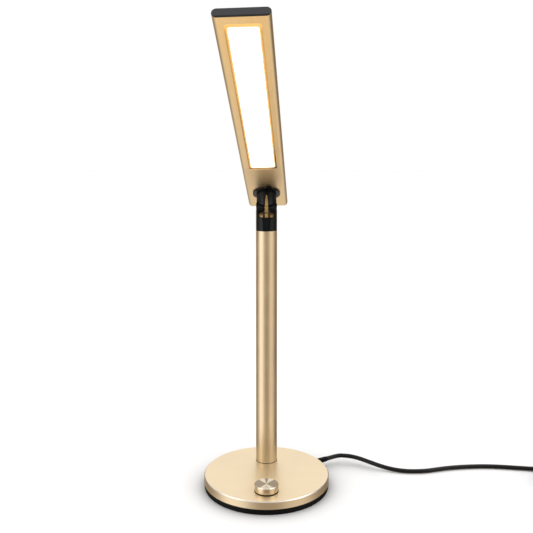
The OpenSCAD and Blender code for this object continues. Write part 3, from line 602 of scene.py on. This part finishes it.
def make_gold_turned(tints):
    """The knob's turned face: fine rings, with painted bright and dim sectors and streaks that stand for its
    reflections.
    """
    _, tree, shader = new_material("gold_turned")
    centre = place_of(tree, (-KNOB_CENTRE.x, -KNOB_CENTRE.y, 0.0))
    rings = use_group(tree, "turned_rings", Place=centre, Rings_per_metre=FACE_RINGS)["Rings"]
    across, depth, _ = axes_of(tree, centre)
    turn = math_node(tree, "ABSOLUTE", math_node(tree, "ARCTAN2", across, depth))
    turn = math_node(tree, "MINIMUM", turn, math_node(tree, "SUBTRACT", math.pi, turn))
    # Painted reflections: the back half is shaded, bright sectors glint, and radial streaks darken
    dark = shaded(tints.painted_knob_shade)
    tone = mix_colour(tree, range_node(tree, depth, *FACE_MIDDLE), shaded(tints.knob), dark)
    tone = mix_colour(tree, range_node(tree, turn, *GLINT_FROM), tone, shaded(tints.painted_glint))
    tone = mix_colour(tree, range_node(tree, turn, *GLINT_TO), tone, dark)
    streak = range_node(tree, noise_node(tree, turn, STREAKS, along_line=True), *STREAK_SPAN)
    tone = mix_colour(tree, streak, tone, shaded(tints.knob, STREAK_TINT))
    tone = mix_colour(tree, math_node(tree, "MULTIPLY", rings, RING_SHADE), tone, BLACKENED)
    round_face = vector_node(tree, "CROSS_PRODUCT", (0.0, 0.0, 1.0), centre)["Vector"]
    feed_all(
        tree, shader, Base_Color=tone, Roughness=mix_value(tree, rings, *FACE_ROUGHNESS), Metallic=METAL,
        Anisotropic=FACE_DRAWN, Tangent=round_face,
    )
    add_bump(tree, shader, rings, FACE_BUMP, FACE_DEPTH)


# The joint, from the pivot: painted shade on the saddle's upper part under the knuckle and in its middle gap
# beside the blade, and the dull recesses of the black pieces as half width, lowest and highest point, with
# the fade at their sides and ends
BRASS_GRAIN = (300.0, 2200.0, 2200.0)
SADDLE_UPPER = (-0.0090, -0.0052, 0.0, 0.8)
SADDLE_GAP = (0.0044, 0.0038, 0.0, 0.9)
SADDLE_PAINTED_SHADE = (0.02, 0.015, 0.01, 1.0)
BLACK_SHEEN = (0.86, 0.93, 1.0, 1.0)
RECESSES = (("black_knuckle", 0.0095, -0.0070, -0.0003), ("black_cup", 0.0039, -0.0247, -0.0080))
RECESS_FADE = (0.0003, 0.0004)
RECESS_ROUGHNESS = 0.95


def make_black(name, tints):
    """Cool black paint of the joint."""
    tree, shader, _, gloss = finish(name, tints.black, roughness=0.30, specular=0.30, stretch=even(1500.0))
    feed_all(tree, shader, Specular_Tint=BLACK_SHEEN)
    return tree, shader, gloss


def make_joint(tints):
    """The joint's finishes: brass, a darker copy of it in painted shade for the saddle, and black paint that
    is dull in its recesses.
    """
    finish("brass", tints.brass, roughness=0.50, metallic=METAL, stretch=BRASS_GRAIN)
    tree, shader, tone, _ = finish(
        "painted_shade_brass", tints.painted_shade_brass, roughness=0.45, metallic=METAL, stretch=BRASS_GRAIN
    )
    across, _, up = axes_of(tree, place_of(tree, -PIVOT))
    # Painted shade on the saddle: darker towards its top under the knuckle and in the gap beside the blade
    gap = range_node(tree, math_node(tree, "ABSOLUTE", across), *SADDLE_GAP)
    deep = math_node(tree, "MAXIMUM", range_node(tree, up, *SADDLE_UPPER), gap)
    feed_all(tree, shader, Base_Color=mix_colour(tree, deep, tone, SADDLE_PAINTED_SHADE))
    make_black("black_metal", tints)
    side, end = RECESS_FADE
    for name, half, low, high in RECESSES:
        tree, shader, gloss = make_black(name, tints)
        across, _, up = axes_of(tree, place_of(tree, -PIVOT))
        recess = range_node(tree, math_node(tree, "ABSOLUTE", across), half + side, half - side)
        recess = math_node(tree, "MULTIPLY", recess, range_node(tree, up, low - end, low + end))
        recess = math_node(tree, "MULTIPLY", recess, range_node(tree, up, high + end, high - end))
        feed_all(tree, shader, Roughness=mix_value(tree, recess, gloss, RECESS_ROUGHNESS))


# The lit window. BAND, DEEP_BAND and GAP are distances out from the white core's edge, and the others lie
# along or across the head. GAP marks a painted shade: a dark line in the amber band along one side, towards
# the window's near end.
CORE_LIGHT = (1.0, 0.99, 0.97, 1.0)
CORE_SHEET = (0.9, 0.89, 0.86, 1.0)
BAND = (-0.0001, 0.0009)
BAND_RAGGED = 0.0004
BAND_DIM = 0.6
DEEP_BAND = (0.0007, 0.0030)
DEEP_ALONG = (WINDOW_TIP + 0.004, WINDOW_TIP + 0.014)
NEAR_HALF = (-0.27, -0.16)
NEAR_EMBER = 0.55
GAP = (0.0012, 0.0018)
GAP_ALONG = (-0.125, -0.080)
GAP_ACROSS = (0.004, 0.013)
GAP_PAINTED_SHADE = (0.02, 0.012, 0.005, 1.0)


def core_reach(tree, across, along, sizes):
    """How far a point of the window is from the edge of its white core, negative inside."""
    corner = sizes.glow_corner
    tip, rear = WINDOW_TIP + sizes.glow_tip, WINDOW_REAR - sizes.glow_rear
    half_w = WINDOW_W / 2 - sizes.glow_side - corner
    half_l = (rear - tip) / 2 - corner
    from_mid = math_node(tree, "SUBTRACT", along, (tip + rear) / 2)
    past_w = math_node(tree, "SUBTRACT", math_node(tree, "ABSOLUTE", across), half_w)
    past_l = math_node(tree, "SUBTRACT", math_node(tree, "ABSOLUTE", from_mid), half_l)
    past_w = math_node(tree, "MAXIMUM", past_w, 0.0)
    past_l = math_node(tree, "MAXIMUM", past_l, 0.0)
    squares = math_node(tree, "MULTIPLY_ADD", past_w, past_w, math_node(tree, "MULTIPLY", past_l, past_l))
    return math_node(tree, "SUBTRACT", math_node(tree, "SQRT", squares), corner)


def make_opal(tints, sizes):
    """The lit window: a white core with an amber band round it, a painted shade line in the band, and a base
    colour that copies the glow as painted light.
    """
    _, tree, shader = new_material("opal")
    feed_all(tree, shader, Roughness=0.35, Specular_IOR_Level=0.3, Emission_Strength=0.9)
    place = head_place(tree)
    across, along, _ = axes_of(tree, place)
    reach = core_reach(tree, across, along, sizes)
    grain = use_group(tree, "fine_grain", Place=place, Stretch=even(260.0))
    uneven = math_node(tree, "MULTIPLY_ADD", grain["Grain"], BAND_RAGGED, reach)
    band = range_node(tree, uneven, *BAND)
    deep = range_node(tree, uneven, *DEEP_BAND)
    deep = math_node(tree, "MULTIPLY", deep, range_node(tree, along, *DEEP_ALONG))
    near = range_node(tree, along, *NEAR_HALF)
    ember = mix_colour(tree, near, shaded(tints.ember), shaded(tints.ember, NEAR_EMBER))
    glow = mix_colour(tree, deep, shaded(tints.glow), ember)
    gap = range_node(tree, reach, *GAP)
    gap = math_node(tree, "MULTIPLY", gap, range_node(tree, along, *GAP_ALONG))
    gap = math_node(tree, "MULTIPLY", gap, range_node(tree, across, *GAP_ACROSS))
    # Painted shade: a dark line in the glow along one side near the window's near end
    glow = mix_colour(tree, gap, glow, GAP_PAINTED_SHADE)
    # The sheet's base colour copies the dimmed glow: painted light
    sheet = mix_colour(tree, band, CORE_SHEET, mix_colour(tree, BAND_DIM, glow, BLACKENED))
    feed_all(tree, shader, Base_Color=sheet, Emission_Color=mix_colour(tree, band, CORE_LIGHT, glow))


# Painted shade on the cap: its wall behind its face and its lower edge are painted nearly black
WALL_ALONG = (CAP_TIP + 0.0003, CAP_TIP + 0.0008)
WALL_UNDER = (CAP_LOW + 0.0019, CAP_LOW + 0.0010, 0.0, 0.8)
WALL_PAINTED_SHADE = 0.1


def make_cap(tints):
    """Grey moulded cap, with painted shade on its wall and its lower edge."""
    tree, shader, tone, _ = finish(
        "cap_grey", tints.cap, roughness=0.62, specular=0.3, stretch=even(1100.0), bump=0.15, place=head_place
    )
    _, along, up = axes_of(tree, head_place(tree))
    # Painted shade: the cap's wall and lower edge darken nearly to black
    under = range_node(tree, up, *WALL_UNDER)
    wall = math_node(tree, "MAXIMUM", range_node(tree, along, *WALL_ALONG), under)
    feed_all(tree, shader, Base_Color=mix_colour(tree, wall, tone, shaded(tints.cap, WALL_PAINTED_SHADE)))


# Finishes with nothing but their grain, mostly inside the lamp: colour, roughness, and what isn't as usual
STEEL_GRAIN = (2200.0, 2200.0, 240.0)
PLAIN_FINISHES = (
    ("black_plastic", (0.012, 0.012, 0.013), 0.48, {"stretch": even(1100.0), "bump": 0.2, "tint": 0.15}),
    ("tie_grey", (0.05, 0.05, 0.055), 0.7, {"stretch": (700.0, 700.0, 2400.0), "bump": 0.3, "tint": 0.2}),
    ("iron", (0.09, 0.085, 0.08), 0.6, {"metallic": 0.8, "stretch": even(500.0), "bump": 0.4, "tint": 0.25}),
    ("steel", (0.55, 0.55, 0.56), 0.3, {"metallic": METAL, "stretch": STEEL_GRAIN}),
    ("dark_steel", (0.06, 0.06, 0.062), 0.4, {"metallic": 0.6}),
    ("pin_chrome", (0.75, 0.75, 0.77), 0.16, {"metallic": METAL, "stretch": STEEL_GRAIN}),
    ("board_green", (0.02, 0.12, 0.05), 0.45, {"stretch": even(900.0), "tint": 0.15}),
    ("part_dark", (0.02, 0.02, 0.022), 0.5, {"tint": 0.15}),
    ("lead_sheath", (0.02, 0.02, 0.02), 0.5, {"tint": 0.15}),
    ("white_plastic", (0.8, 0.8, 0.78), 0.4, {}),
    ("led_yellow", (0.85, 0.65, 0.12), 0.35, {}),
)


def make_materials():
    """All finishes of the lamp."""
    sizes = bpy.context.scene.lamp_sizes
    tints = bpy.context.scene.lamp_colours
    make_fine_grain()
    make_turned_rings()
    make_gold_pole(tints)
    make_gold_head(tints)
    make_gold_cover(tints)
    make_gold_knob(tints, sizes)
    make_gold_turned(tints)
    make_opal(tints, sizes)
    make_joint(tints)
    make_cap(tints)
    finish("black_rubber", tints.rubber, roughness=0.55, specular=0.12, stretch=even(900.0), tint=0.2)
    finish("cord_black", tints.cord, roughness=0.34, specular=0.30, stretch=even(1300.0), tint=0.15)
    for name, base, roughness, unusual in PLAIN_FINISHES:
        finish(name, base, roughness, **unusual)


# Cord, with the points of its route in millimetres

ROUTE = (
    (88, 54, 10.3), (97, 53.5, 10.5), (105, 52, 10.1), (115, 48, 9), (126, 42, 7.3), (137, 36.5, 5.5),
    (148, 32.5, 3.9), (160, 29.5, 2.9), (173, 28, 2.6), (190, 29, 2.6), (205, 33, 2.6), (220, 37, 2.6),
    (235, 39.5, 2.6), (250, 41, 2.6), (265, 41.5, 2.6), (280, 40.5, 2.6), (295, 38.5, 2.6), (308, 36.5, 2.6),
    (321, 34.2, 2.8), (335, 31.6, 3.4),
)
LEAD = ((387.5, -22, 20.6), (384.5, -34, 18.6), (380.5, -45, 16), (377, -55, 14.3), (376, -62, 14))
MM_PER_METRE = 1000
CORD_EXIT = Vector((0.0732, 0.0485, 0.009))
CORD_FACETS = 4
LINE_STEPS = 4

# The coil: its turns and layers, points to a turn, the angle where it starts, and the turns of a climb
COIL_TURNS = 8.25
COIL_LAYERS = 4
COIL_STEPS = 32
COIL_START = 90
COIL_CLIMB = 0.5


def in_metres(points):
    """Points in millimetres as vectors in metres."""
    return [Vector(point) / MM_PER_METRE for point in points]


def smooth(points):
    """A smooth line through the points, with as many steps between each two."""
    ends = [2 * points[0] - points[1]] + list(points) + [2 * points[-1] - points[-2]]
    line = []
    for a, b, c, d in zip(ends, ends[1:], ends[2:], ends[3:]):
        for i in range(LINE_STEPS):
            t = i / LINE_STEPS
            line.append(0.5 * (2 * b + (c - a) * t + (2 * a - 5 * b + 4 * c - d) * t * t
                               + (3 * b - a - 3 * c + d) * t ** 3))
    return line + [points[-1]]


def coil_line(sizes):
    """The coil's middle line: layers wound in and out by turns, each one pitch above the last."""
    layer_turns = COIL_TURNS / COIL_LAYERS
    span = sizes.coil_pitch * layer_turns
    line = []
    count = int(COIL_TURNS * COIL_STEPS)
    for i in range(count + 1):
        s = COIL_TURNS * i / count
        layer = min(int(s / layer_turns), COIL_LAYERS - 1)
        part = s / layer_turns - layer
        inward = part if layer % 2 == 0 else 1 - part
        radius = sizes.coil_radius + span * (0.5 - inward)
        rise = 0.0
        for k in range(1, COIL_LAYERS):
            t = min(max((s - k * layer_turns + COIL_CLIMB / 2) / COIL_CLIMB, 0.0), 1.0)
            rise += t * t * (3 - 2 * t)
        angle = math.radians(COIL_START - 360 * s)
        line.append(Vector((sizes.coil_x + radius * math.cos(angle), sizes.coil_y + radius * math.sin(angle),
                            sizes.coil_base + sizes.coil_pitch * rise)))
    return line


class LAMP_OT_cord(bpy.types.Operator):
    """Makes the cord from the base to its coil and on to the plug-in supply"""

    bl_idname = "lamp.cord"
    bl_label = "Cord"

    def execute(self, context):
        sizes = context.scene.lamp_sizes
        coil = coil_line(sizes)
        start = smooth([CORD_EXIT] + in_metres(ROUTE) + coil[:2])
        tail = smooth(coil[-2:] + in_metres(LEAD))
        line = start[:-LINE_STEPS - 1] + coil[:-1] + tail[LINE_STEPS:]
        data = bpy.data.curves.new("mains_cord", "CURVE")
        data.dimensions = "3D"
        data.bevel_depth = sizes.cord_radius
        data.bevel_resolution = CORD_FACETS
        data.use_fill_caps = True
        spline = data.splines.new("POLY")
        spline.points.add(len(line) - 1)
        for point, place in zip(spline.points, line):
            point.co = (*place, 1.0)
        spline.use_smooth = True
        piece = add_object("mains_cord", data, "cord_black", "stand", "cord_black",
                           "power_cord", "cord_coil", "plug_lead")
        return {"FINISHED"}


# Makers of the pieces

# A point of the knob's rounded chamfer, inwards and down, and two of its hollow face: parts of the radius and
# of the hollow's depth
CHAMFER_BEND = (0.15, 0.55)
DISH_POINTS = ((0.8, 0.5), (0.4, 1.0))

# The gold leaf that stands on the notch's floor, and the black screen at the notch's rear, which closes the
# view through the hinge. Both are given from the pivot.
LEAF_LOW = Vector((-0.0020, -0.0110, -0.0095))
LEAF_HIGH = Vector((0.0020, -0.0106, -0.0049))
SCREEN_LOW = Vector((-0.0034, 0.0106, -0.0095))
SCREEN_HIGH = Vector((0.0034, 0.0110, -0.0062))


class LAMP_OT_base(bpy.types.Operator):
    """Makes the base's cover and its black foot, and finishes what the base holds"""

    bl_idname = "lamp.base"
    bl_label = "Base"

    def execute(self, context):
        sizes = context.scene.lamp_sizes
        soft, rim = sizes.edge_soft, sizes.foot_rim
        add_softened("base_shell", "base_cover", "gold_cover", "stand", "gold_satin", soft / 2)
        add_softened("foot_ring", "foot_pad", "black_rubber", "stand", "black_rubber", 2 * soft, rim)
        add_softened("closing_plate", "base_plate", "black_rubber", "stand", "black_metal", soft, rim)
        paint("black_rubber", "cord_gland")
        paint("black_metal", "knob_ring")
        paint("iron", "base_weight")
        paint("steel", "base_screws", "dimmer_nut", "dimmer_shaft")
        paint("part_dark", "dimmer_body", "driver_parts")
        paint("board_green", "driver_board")
        return {"FINISHED"}


class LAMP_OT_knob(bpy.types.Operator):
    """Makes the dimmer knob, the hollowed disc in its top and the black ring under it"""

    bl_idname = "lamp.knob"
    bl_label = "Knob"

    def execute(self, context):
        sizes = context.scene.lamp_sizes
        cut, soft, dish = sizes.knob_cut, sizes.edge_soft, sizes.knob_dish
        rim, low, top = KNOB_HIGH.x - KNOB_CENTRE.x, KNOB_LOW.z, KNOB_HIGH.z
        face = rim - cut
        seat = top - 2 * soft
        bend_in, bend_down = CHAMFER_BEND
        body = [(0.0, low), (rim - soft, low), (rim, low + soft), (rim, top - cut * CHAMFER_RISE),
                (rim - bend_in * cut, top - cut * bend_down), (face, top), (face - soft / 2, seat),
                (0.0, seat)]
        hollow = [(face * part, top - dish * depth) for part, depth in DISH_POINTS]
        disc = [(0.0, seat), (face - soft / 2, seat), (face - soft / 4, top - soft / 2), (face - soft, top),
                *hollow, (0.0, top - dish)]
        add_mesh("knob_body", spun(body, KNOB_CENTRE), "gold_knob", "knob", "gold_turned", "dimmer_knob")
        add_mesh("knob_face", spun(disc, KNOB_CENTRE), "gold_turned", "knob", "gold_turned")
        # The black ring under the knob stands past its rim, so that it also stands for the shade line under
        # the knob
        ring_low, ring_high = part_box("knob_ring")
        inner, outer = ring_high.x - KNOB_CENTRE.x - soft, rim + sizes.knob_lip
        ring = ring_profile(inner, outer, ring_low.z, ring_high.z, soft / 2)
        add_mesh("knob_gasket", spun(ring, KNOB_CENTRE), "black_rubber", "stand", "black_rubber")
        return {"FINISHED"}


class LAMP_OT_pole(bpy.types.Operator):
    """Makes the pole and the black gasket round its foot, which stands for the contact shade there, and
    finishes what holds it
    """

    bl_idname = "lamp.pole"
    bl_label = "Pole"

    def execute(self, context):
        sizes = context.scene.lamp_sizes
        soft, tall = sizes.edge_soft, sizes.gasket_h
        add_softened("pole_shell", "pole_tube", "gold_pole", "stand", "gold_satin", soft)
        low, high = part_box("pole_tube")
        # The thin black gasket stands for the contact shade round the pole's foot
        inner, outer = high.x - soft, high.x + sizes.gasket_w
        ring = ring_profile(inner, outer, low.z, low.z + tall, tall / 3)
        add_mesh("pole_gasket", spun(ring, (low + high) / 2), "black_rubber", "stand", "black_rubber")
        paint("steel", "pole_foot", "pole_nipple", "nipple_washer", "nipple_nut")
        paint("lead_sheath", "pole_lead", "head_lead")
        return {"FINISHED"}


class LAMP_OT_joint(bpy.types.Operator):
    """Makes the tilting and turning joint, with the thin leaf and screen in its notch"""

    bl_idname = "lamp.joint"
    bl_label = "Joint"

    def execute(self, context):
        soft = context.scene.lamp_sizes.edge_soft
        add_softened("joint_cup", "knuckle_cup", "black_cup", "stand", "black_metal", soft)
        add_softened("joint_knuckle", "upper_knuckle", "black_knuckle", "tilt_knuckle", "black_metal", soft)
        add_softened("joint_saddle", "yoke", "painted_shade_brass", "stand", "brass", soft)
        add_softened("joint_blade", "hinge_tongue", "brass", "tilt_knuckle", "brass", 2 * soft)
        for name, low, high, material, slot in (
            ("joint_leaf", LEAF_LOW, LEAF_HIGH, "brass", "brass"),
            ("joint_screen", SCREEN_LOW, SCREEN_HIGH, "black_rubber", "black_metal"),
        ):
            add_plate(name, low, high, material, "stand", slot, soft / 2)
        paint("black_rubber", "friction_washers")
        paint("black_metal", "swivel_washer")
        paint("dark_steel", "hinge_pin")
        paint("steel", "yoke_screws", "swivel_bolt", "swivel_nut")
        return {"FINISHED"}


class LAMP_OT_head(bpy.types.Operator):
    """Makes the head's housing and its cap, and finishes its lit window and what lies behind it"""

    bl_idname = "lamp.head"
    bl_label = "Head"

    def execute(self, context):
        sizes = context.scene.lamp_sizes
        soft, slide = sizes.edge_soft, sizes.cap_slide
        add_softened("head_shell", "head_housing", "gold_head", "head", "gold_satin", soft, slide=slide)
        add_softened("head_cap", "end_cap", "cap_grey", "head", "cap_grey", soft, slide=slide)
        paint("opal", "diffuser")
        paint("white_plastic", "reflector_sheet", "led_board")
        paint("led_yellow", "led_chips")
        paint("steel", "swivel_plate", "plate_rivets")
        return {"FINISHED"}


class LAMP_OT_supply(bpy.types.Operator):
    """Makes the plug-in supply, and finishes its pins and boot and the tie round the coil"""

    bl_idname = "lamp.supply"
    bl_label = "Supply"

    def execute(self, context):
        soft = context.scene.lamp_sizes.edge_soft
        add_softened("supply_shell", "adapter_body", "black_plastic", "stand", "black_plastic", 3 * soft)
        add_softened("supply_face", "adapter_face", "black_plastic", "stand", "black_plastic", 2 * soft)
        paint("black_rubber", "adapter_boot")
        paint("pin_chrome", "adapter_pins")
        paint("tie_grey", "coil_tie")
        return {"FINISHED"}


# Stage

CAMERA_LENS = 50.74
CAMERA_SENSOR = 36.0
CAMERA_SHIFT = -0.185
CAMERA_NEAR = 0.01
CAMERA_PLACE = (0.0, -0.8545, 0.4033)
CAMERA_PITCH = math.radians(87.57)
LIGHT_AIM = Vector((0.0, 0.0, 0.2))

# The floor: plain white beyond the base, with a painted contact shadow, from ambient occlusion, that darkens
# its colour close under the lamp
FLOOR_SIZE = 8.0
FLOOR_PAINTED_SHADOW = (0.28, 0.277, 0.272, 1.0)
FLOOR_WHITE = (0.89, 0.89, 0.89, 1.0)
FLOOR_CLEAR = (0.090, 0.150)
CONTACT_REACH = 0.15
CONTACT_SAMPLES = 12
CONTACT_POWER = 1.35

# Brightness of the studio that metal shows, by degrees from the front, left negative
STUDIO_RING = (
    (-180, 0.42), (-160, 0.32), (-140, 0.18), (-100, 0.22), (-76, 0.90), (-42, 0.88), (-22, 0.26), (0, 0.22),
    (22, 0.22), (40, 0.62), (72, 0.60), (100, 0.16), (140, 0.12), (160, 0.26), (180, 0.42),
)
LOW_SKY_RING = (
    (-180, 0.45), (-160, 0.38), (-138, 0.24), (-106, 0.24), (-78, 0.56), (-50, 0.54), (-27, 0.46), (-5, 0.40),
    (20, 0.34), (38, 0.34), (63, 0.24), (90, 0.08), (127, 0.08), (150, 0.24), (166, 0.38), (180, 0.45),
)
HIGH_SKY_RING = (
    (-180, 0.45), (-128, 0.45), (-110, 1.4), (-70, 1.4), (-52, 0.40), (0, 0.30), (52, 0.40), (70, 2.0),
    (110, 2.0), (128, 0.45), (180, 0.45),
)

# How much green and blue a dim direction of the ring loses
WARM_GREEN = 0.28
WARM_BLUE = 0.58

# Where the studio's parts begin, by a direction's height from -1 to 1, and by its depth for back and front
SKY_UP = (0.15, 0.35)
HIGH_SKY_UP = (0.58, 0.70)
ZENITH_UP = (0.92, 0.97)
BACK_UP = (0.36, 0.46)
BACK_DEPTH = (0.45, 0.65)
FLOOR_DOWN = (-0.45, -0.75)
FOOT_DOWN = (-0.80, -0.93)
FRONT_DEPTH = (-0.2, 0.3)

# Colours of those parts, and the strength of the studio to metal and to the rest
STUDIO_ZENITH = (0.36, 0.35, 0.34, 1.0)
STUDIO_BACK = (0.90, 0.905, 0.90, 1.0)
STUDIO_FLOOR = (0.52, 0.51, 0.475, 1.0)
STUDIO_FOOT = (0.83, 0.635, 0.395, 1.0)
STUDIO_FRONT = (0.20, 0.18, 0.15, 1.0)
STUDIO_WHITE = (1.0, 1.0, 1.0, 1.0)
STUDIO_GAIN = 1.45
STUDIO_DIFFUSE = 1.12


def add_floor(scene):
    """A wide white floor with a painted contact shadow close under the lamp."""
    mesh = bmesh.new()
    bmesh.ops.create_grid(mesh, x_segments=1, y_segments=1, size=FLOOR_SIZE)
    data = bpy.data.meshes.new("floor")
    mesh.to_mesh(data)
    mesh.free()
    floor = bpy.data.objects.new("floor", data)
    scene.collection.objects.link(floor)
    material, tree, shader = new_material("floor_white")
    # Painted shadow: ambient occlusion darkens the floor's colour near the base
    near = tree.nodes.new("ShaderNodeAmbientOcclusion")
    near.samples = CONTACT_SAMPLES
    feed_all(tree, near, Distance=CONTACT_REACH)
    clear = range_node(tree, reach_of(tree, place_of(tree)), *FLOOR_CLEAR)
    open_part = math_node(tree, "POWER", near.outputs["AO"], CONTACT_POWER)
    open_part = math_node(tree, "MAXIMUM", open_part, clear)
    tone = mix_colour(tree, open_part, FLOOR_PAINTED_SHADOW, FLOOR_WHITE)
    feed_all(tree, shader, Base_Color=tone, Roughness=1.0, Specular_IOR_Level=0.0)
    data.materials.append(material)
    floor.visible_glossy = False


def add_light(scene, name, place, size, power):
    """A rectangular soft box aimed at the lamp's middle."""
    data = bpy.data.lights.new(name, "AREA")
    data.shape = "RECTANGLE"
    data.size, data.size_y = size
    data.energy = power
    lamp = bpy.data.objects.new(name, data)
    lamp.location = place
    aim = LIGHT_AIM - Vector(place)
    lamp.rotation_euler = aim.to_track_quat("-Z", "Y").to_euler()
    scene.collection.objects.link(lamp)


def add_ring(tree, turn, levels, warmth=0.0):
    """Brightness by direction round the vertical, warmer where it is dim."""
    ring = tree.nodes.new("ShaderNodeValToRGB")
    ring.color_ramp.interpolation = "EASE"
    stops = ring.color_ramp.elements
    while len(stops) > 1:
        stops.remove(stops[-1])
    for i, (degrees, value) in enumerate(levels):
        stop = stops[0] if i == 0 else stops.new(1.0)
        stop.position = degrees / 360 + 0.5
        dim = warmth * max(1.0 - value, 0.0)
        stop.color = (value, value * (1.0 - WARM_GREEN * dim), value * (1.0 - WARM_BLUE * dim), 1.0)
    feed_all(tree, ring, Fac=turn)
    return ring.outputs["Color"]


def studio_level(tree, place):
    """What metal sees of the studio: its light boxes, its dim corners, its white back and its floor."""
    across, depth, up = axes_of(tree, place)
    front = math_node(tree, "MULTIPLY", depth, -1.0)
    turn = math_node(tree, "ARCTAN2", across, front)
    turn = math_node(tree, "MULTIPLY_ADD", turn, 0.5 / math.pi, 0.5)
    ring = add_ring(tree, turn, STUDIO_RING, warmth=1.0)
    high_sky = add_ring(tree, turn, HIGH_SKY_RING)
    high_sky = mix_colour(tree, range_node(tree, up, *ZENITH_UP), high_sky, STUDIO_ZENITH)
    low_sky = add_ring(tree, turn, LOW_SKY_RING)
    sky = mix_colour(tree, range_node(tree, up, *HIGH_SKY_UP), low_sky, high_sky)
    back = math_node(tree, "MULTIPLY", range_node(tree, depth, *BACK_DEPTH), range_node(tree, up, *BACK_UP))
    sky = mix_colour(tree, back, sky, STUDIO_BACK)
    level = mix_colour(tree, range_node(tree, up, *SKY_UP), ring, sky)
    floor = mix_colour(tree, range_node(tree, up, *FOOT_DOWN), STUDIO_FLOOR, STUDIO_FOOT)
    floor = mix_colour(tree, range_node(tree, front, *FRONT_DEPTH), floor, STUDIO_FRONT)
    return mix_colour(tree, range_node(tree, up, *FLOOR_DOWN), level, floor)


def add_world(scene):
    """A white studio, which only mirrored rays see in its parts."""
    world = bpy.data.worlds.new("studio")
    scene.world = world
    world.use_nodes = True
    tree = world.node_tree
    tree.nodes.clear()
    out = tree.nodes.new("ShaderNodeOutputWorld")
    light = tree.nodes.new("ShaderNodeBackground")
    feed_all(tree, out, Surface=light.outputs["Background"])
    place = tree.nodes.new("ShaderNodeTexCoord")
    level = studio_level(tree, place.outputs["Generated"])
    path = tree.nodes.new("ShaderNodeLightPath")
    mirrored = math_node(tree, "MAXIMUM", path.outputs["Is Glossy Ray"], path.outputs["Is Transmission Ray"])
    seen = mix_value(tree, path.outputs["Is Camera Ray"], STUDIO_DIFFUSE, 1.0)
    feed_all(
        tree, light, Color=mix_colour(tree, mirrored, STUDIO_WHITE, level),
        Strength=mix_value(tree, mirrored, seen, STUDIO_GAIN),
    )


def add_camera(scene):
    """The camera at the photograph's viewing angle."""
    camera = bpy.data.cameras.new("camera")
    camera.lens = CAMERA_LENS
    camera.sensor_width = CAMERA_SENSOR
    camera.shift_y = CAMERA_SHIFT
    camera.clip_start = CAMERA_NEAR
    eye = bpy.data.objects.new("camera", camera)
    eye.location = CAMERA_PLACE
    eye.rotation_euler = (CAMERA_PITCH, 0.0, 0.0)
    scene.collection.objects.link(eye)
    scene.camera = eye


class LAMP_OT_stage(bpy.types.Operator):
    """Makes the floor, the lights, the world and the camera"""

    bl_idname = "lamp.stage"
    bl_label = "Stage"

    def execute(self, context):
        scene = context.scene
        power = scene.lamp_stage
        add_floor(scene)
        add_light(scene, "box_left", place=(-1.05, -0.60, 0.75), size=(0.5, 1.0), power=power.left)
        add_light(scene, "box_right", place=(1.00, -0.66, 0.70), size=(0.4, 0.9), power=power.right)
        add_light(scene, "box_top", place=(0.0, -0.1, 1.7), size=(1.6, 1.6), power=power.top)
        add_world(scene)
        add_camera(scene)
        scene.view_settings.view_transform = "Standard"
        return {"FINISHED"}


class LAMP_PT_panel(bpy.types.Panel):
    """Sizes, colours and makers of the lamp's pieces"""

    bl_label = "Desk lamp"
    bl_idname = "LAMP_PT_panel"
    bl_space_type = "VIEW_3D"
    bl_region_type = "UI"
    bl_category = "Lamp"

    def draw(self, context):
        layout = self.layout
        for group in (context.scene.lamp_sizes, context.scene.lamp_colours, context.scene.lamp_stage):
            for name in group.__annotations__:
                layout.prop(group, name)
        for maker in MAKERS:
            layout.operator(maker.bl_idname)


MAKERS = (
    LAMP_OT_stage, LAMP_OT_supply, LAMP_OT_cord, LAMP_OT_base, LAMP_OT_knob, LAMP_OT_pole, LAMP_OT_joint,
    LAMP_OT_head,
)
CLASSES = (LampSizes, LampColours, StageSettings, *MAKERS, LAMP_PT_panel)


def register():
    for cls in CLASSES:
        bpy.utils.register_class(cls)
    scene = bpy.types.Scene
    scene.lamp_sizes = PointerProperty(type=LampSizes, name="Sizes", description="Sizes of the pieces")
    scene.lamp_colours = PointerProperty(type=LampColours, name="Colours", description="Finishes")
    scene.lamp_stage = PointerProperty(type=StageSettings, name="Stage", description="Lights")


def unregister():
    del bpy.types.Scene.lamp_stage
    del bpy.types.Scene.lamp_colours
    del bpy.types.Scene.lamp_sizes
    for cls in reversed(CLASSES):
        bpy.utils.unregister_class(cls)


def main():
    register()
    make_materials()
    bpy.ops.lamp.stage()
    bpy.ops.lamp.supply()
    bpy.ops.lamp.cord()
    bpy.ops.lamp.base()
    bpy.ops.lamp.knob()
    bpy.ops.lamp.pole()
    bpy.ops.lamp.joint()
    bpy.ops.lamp.head()


if __name__ == "__main__":
    main()
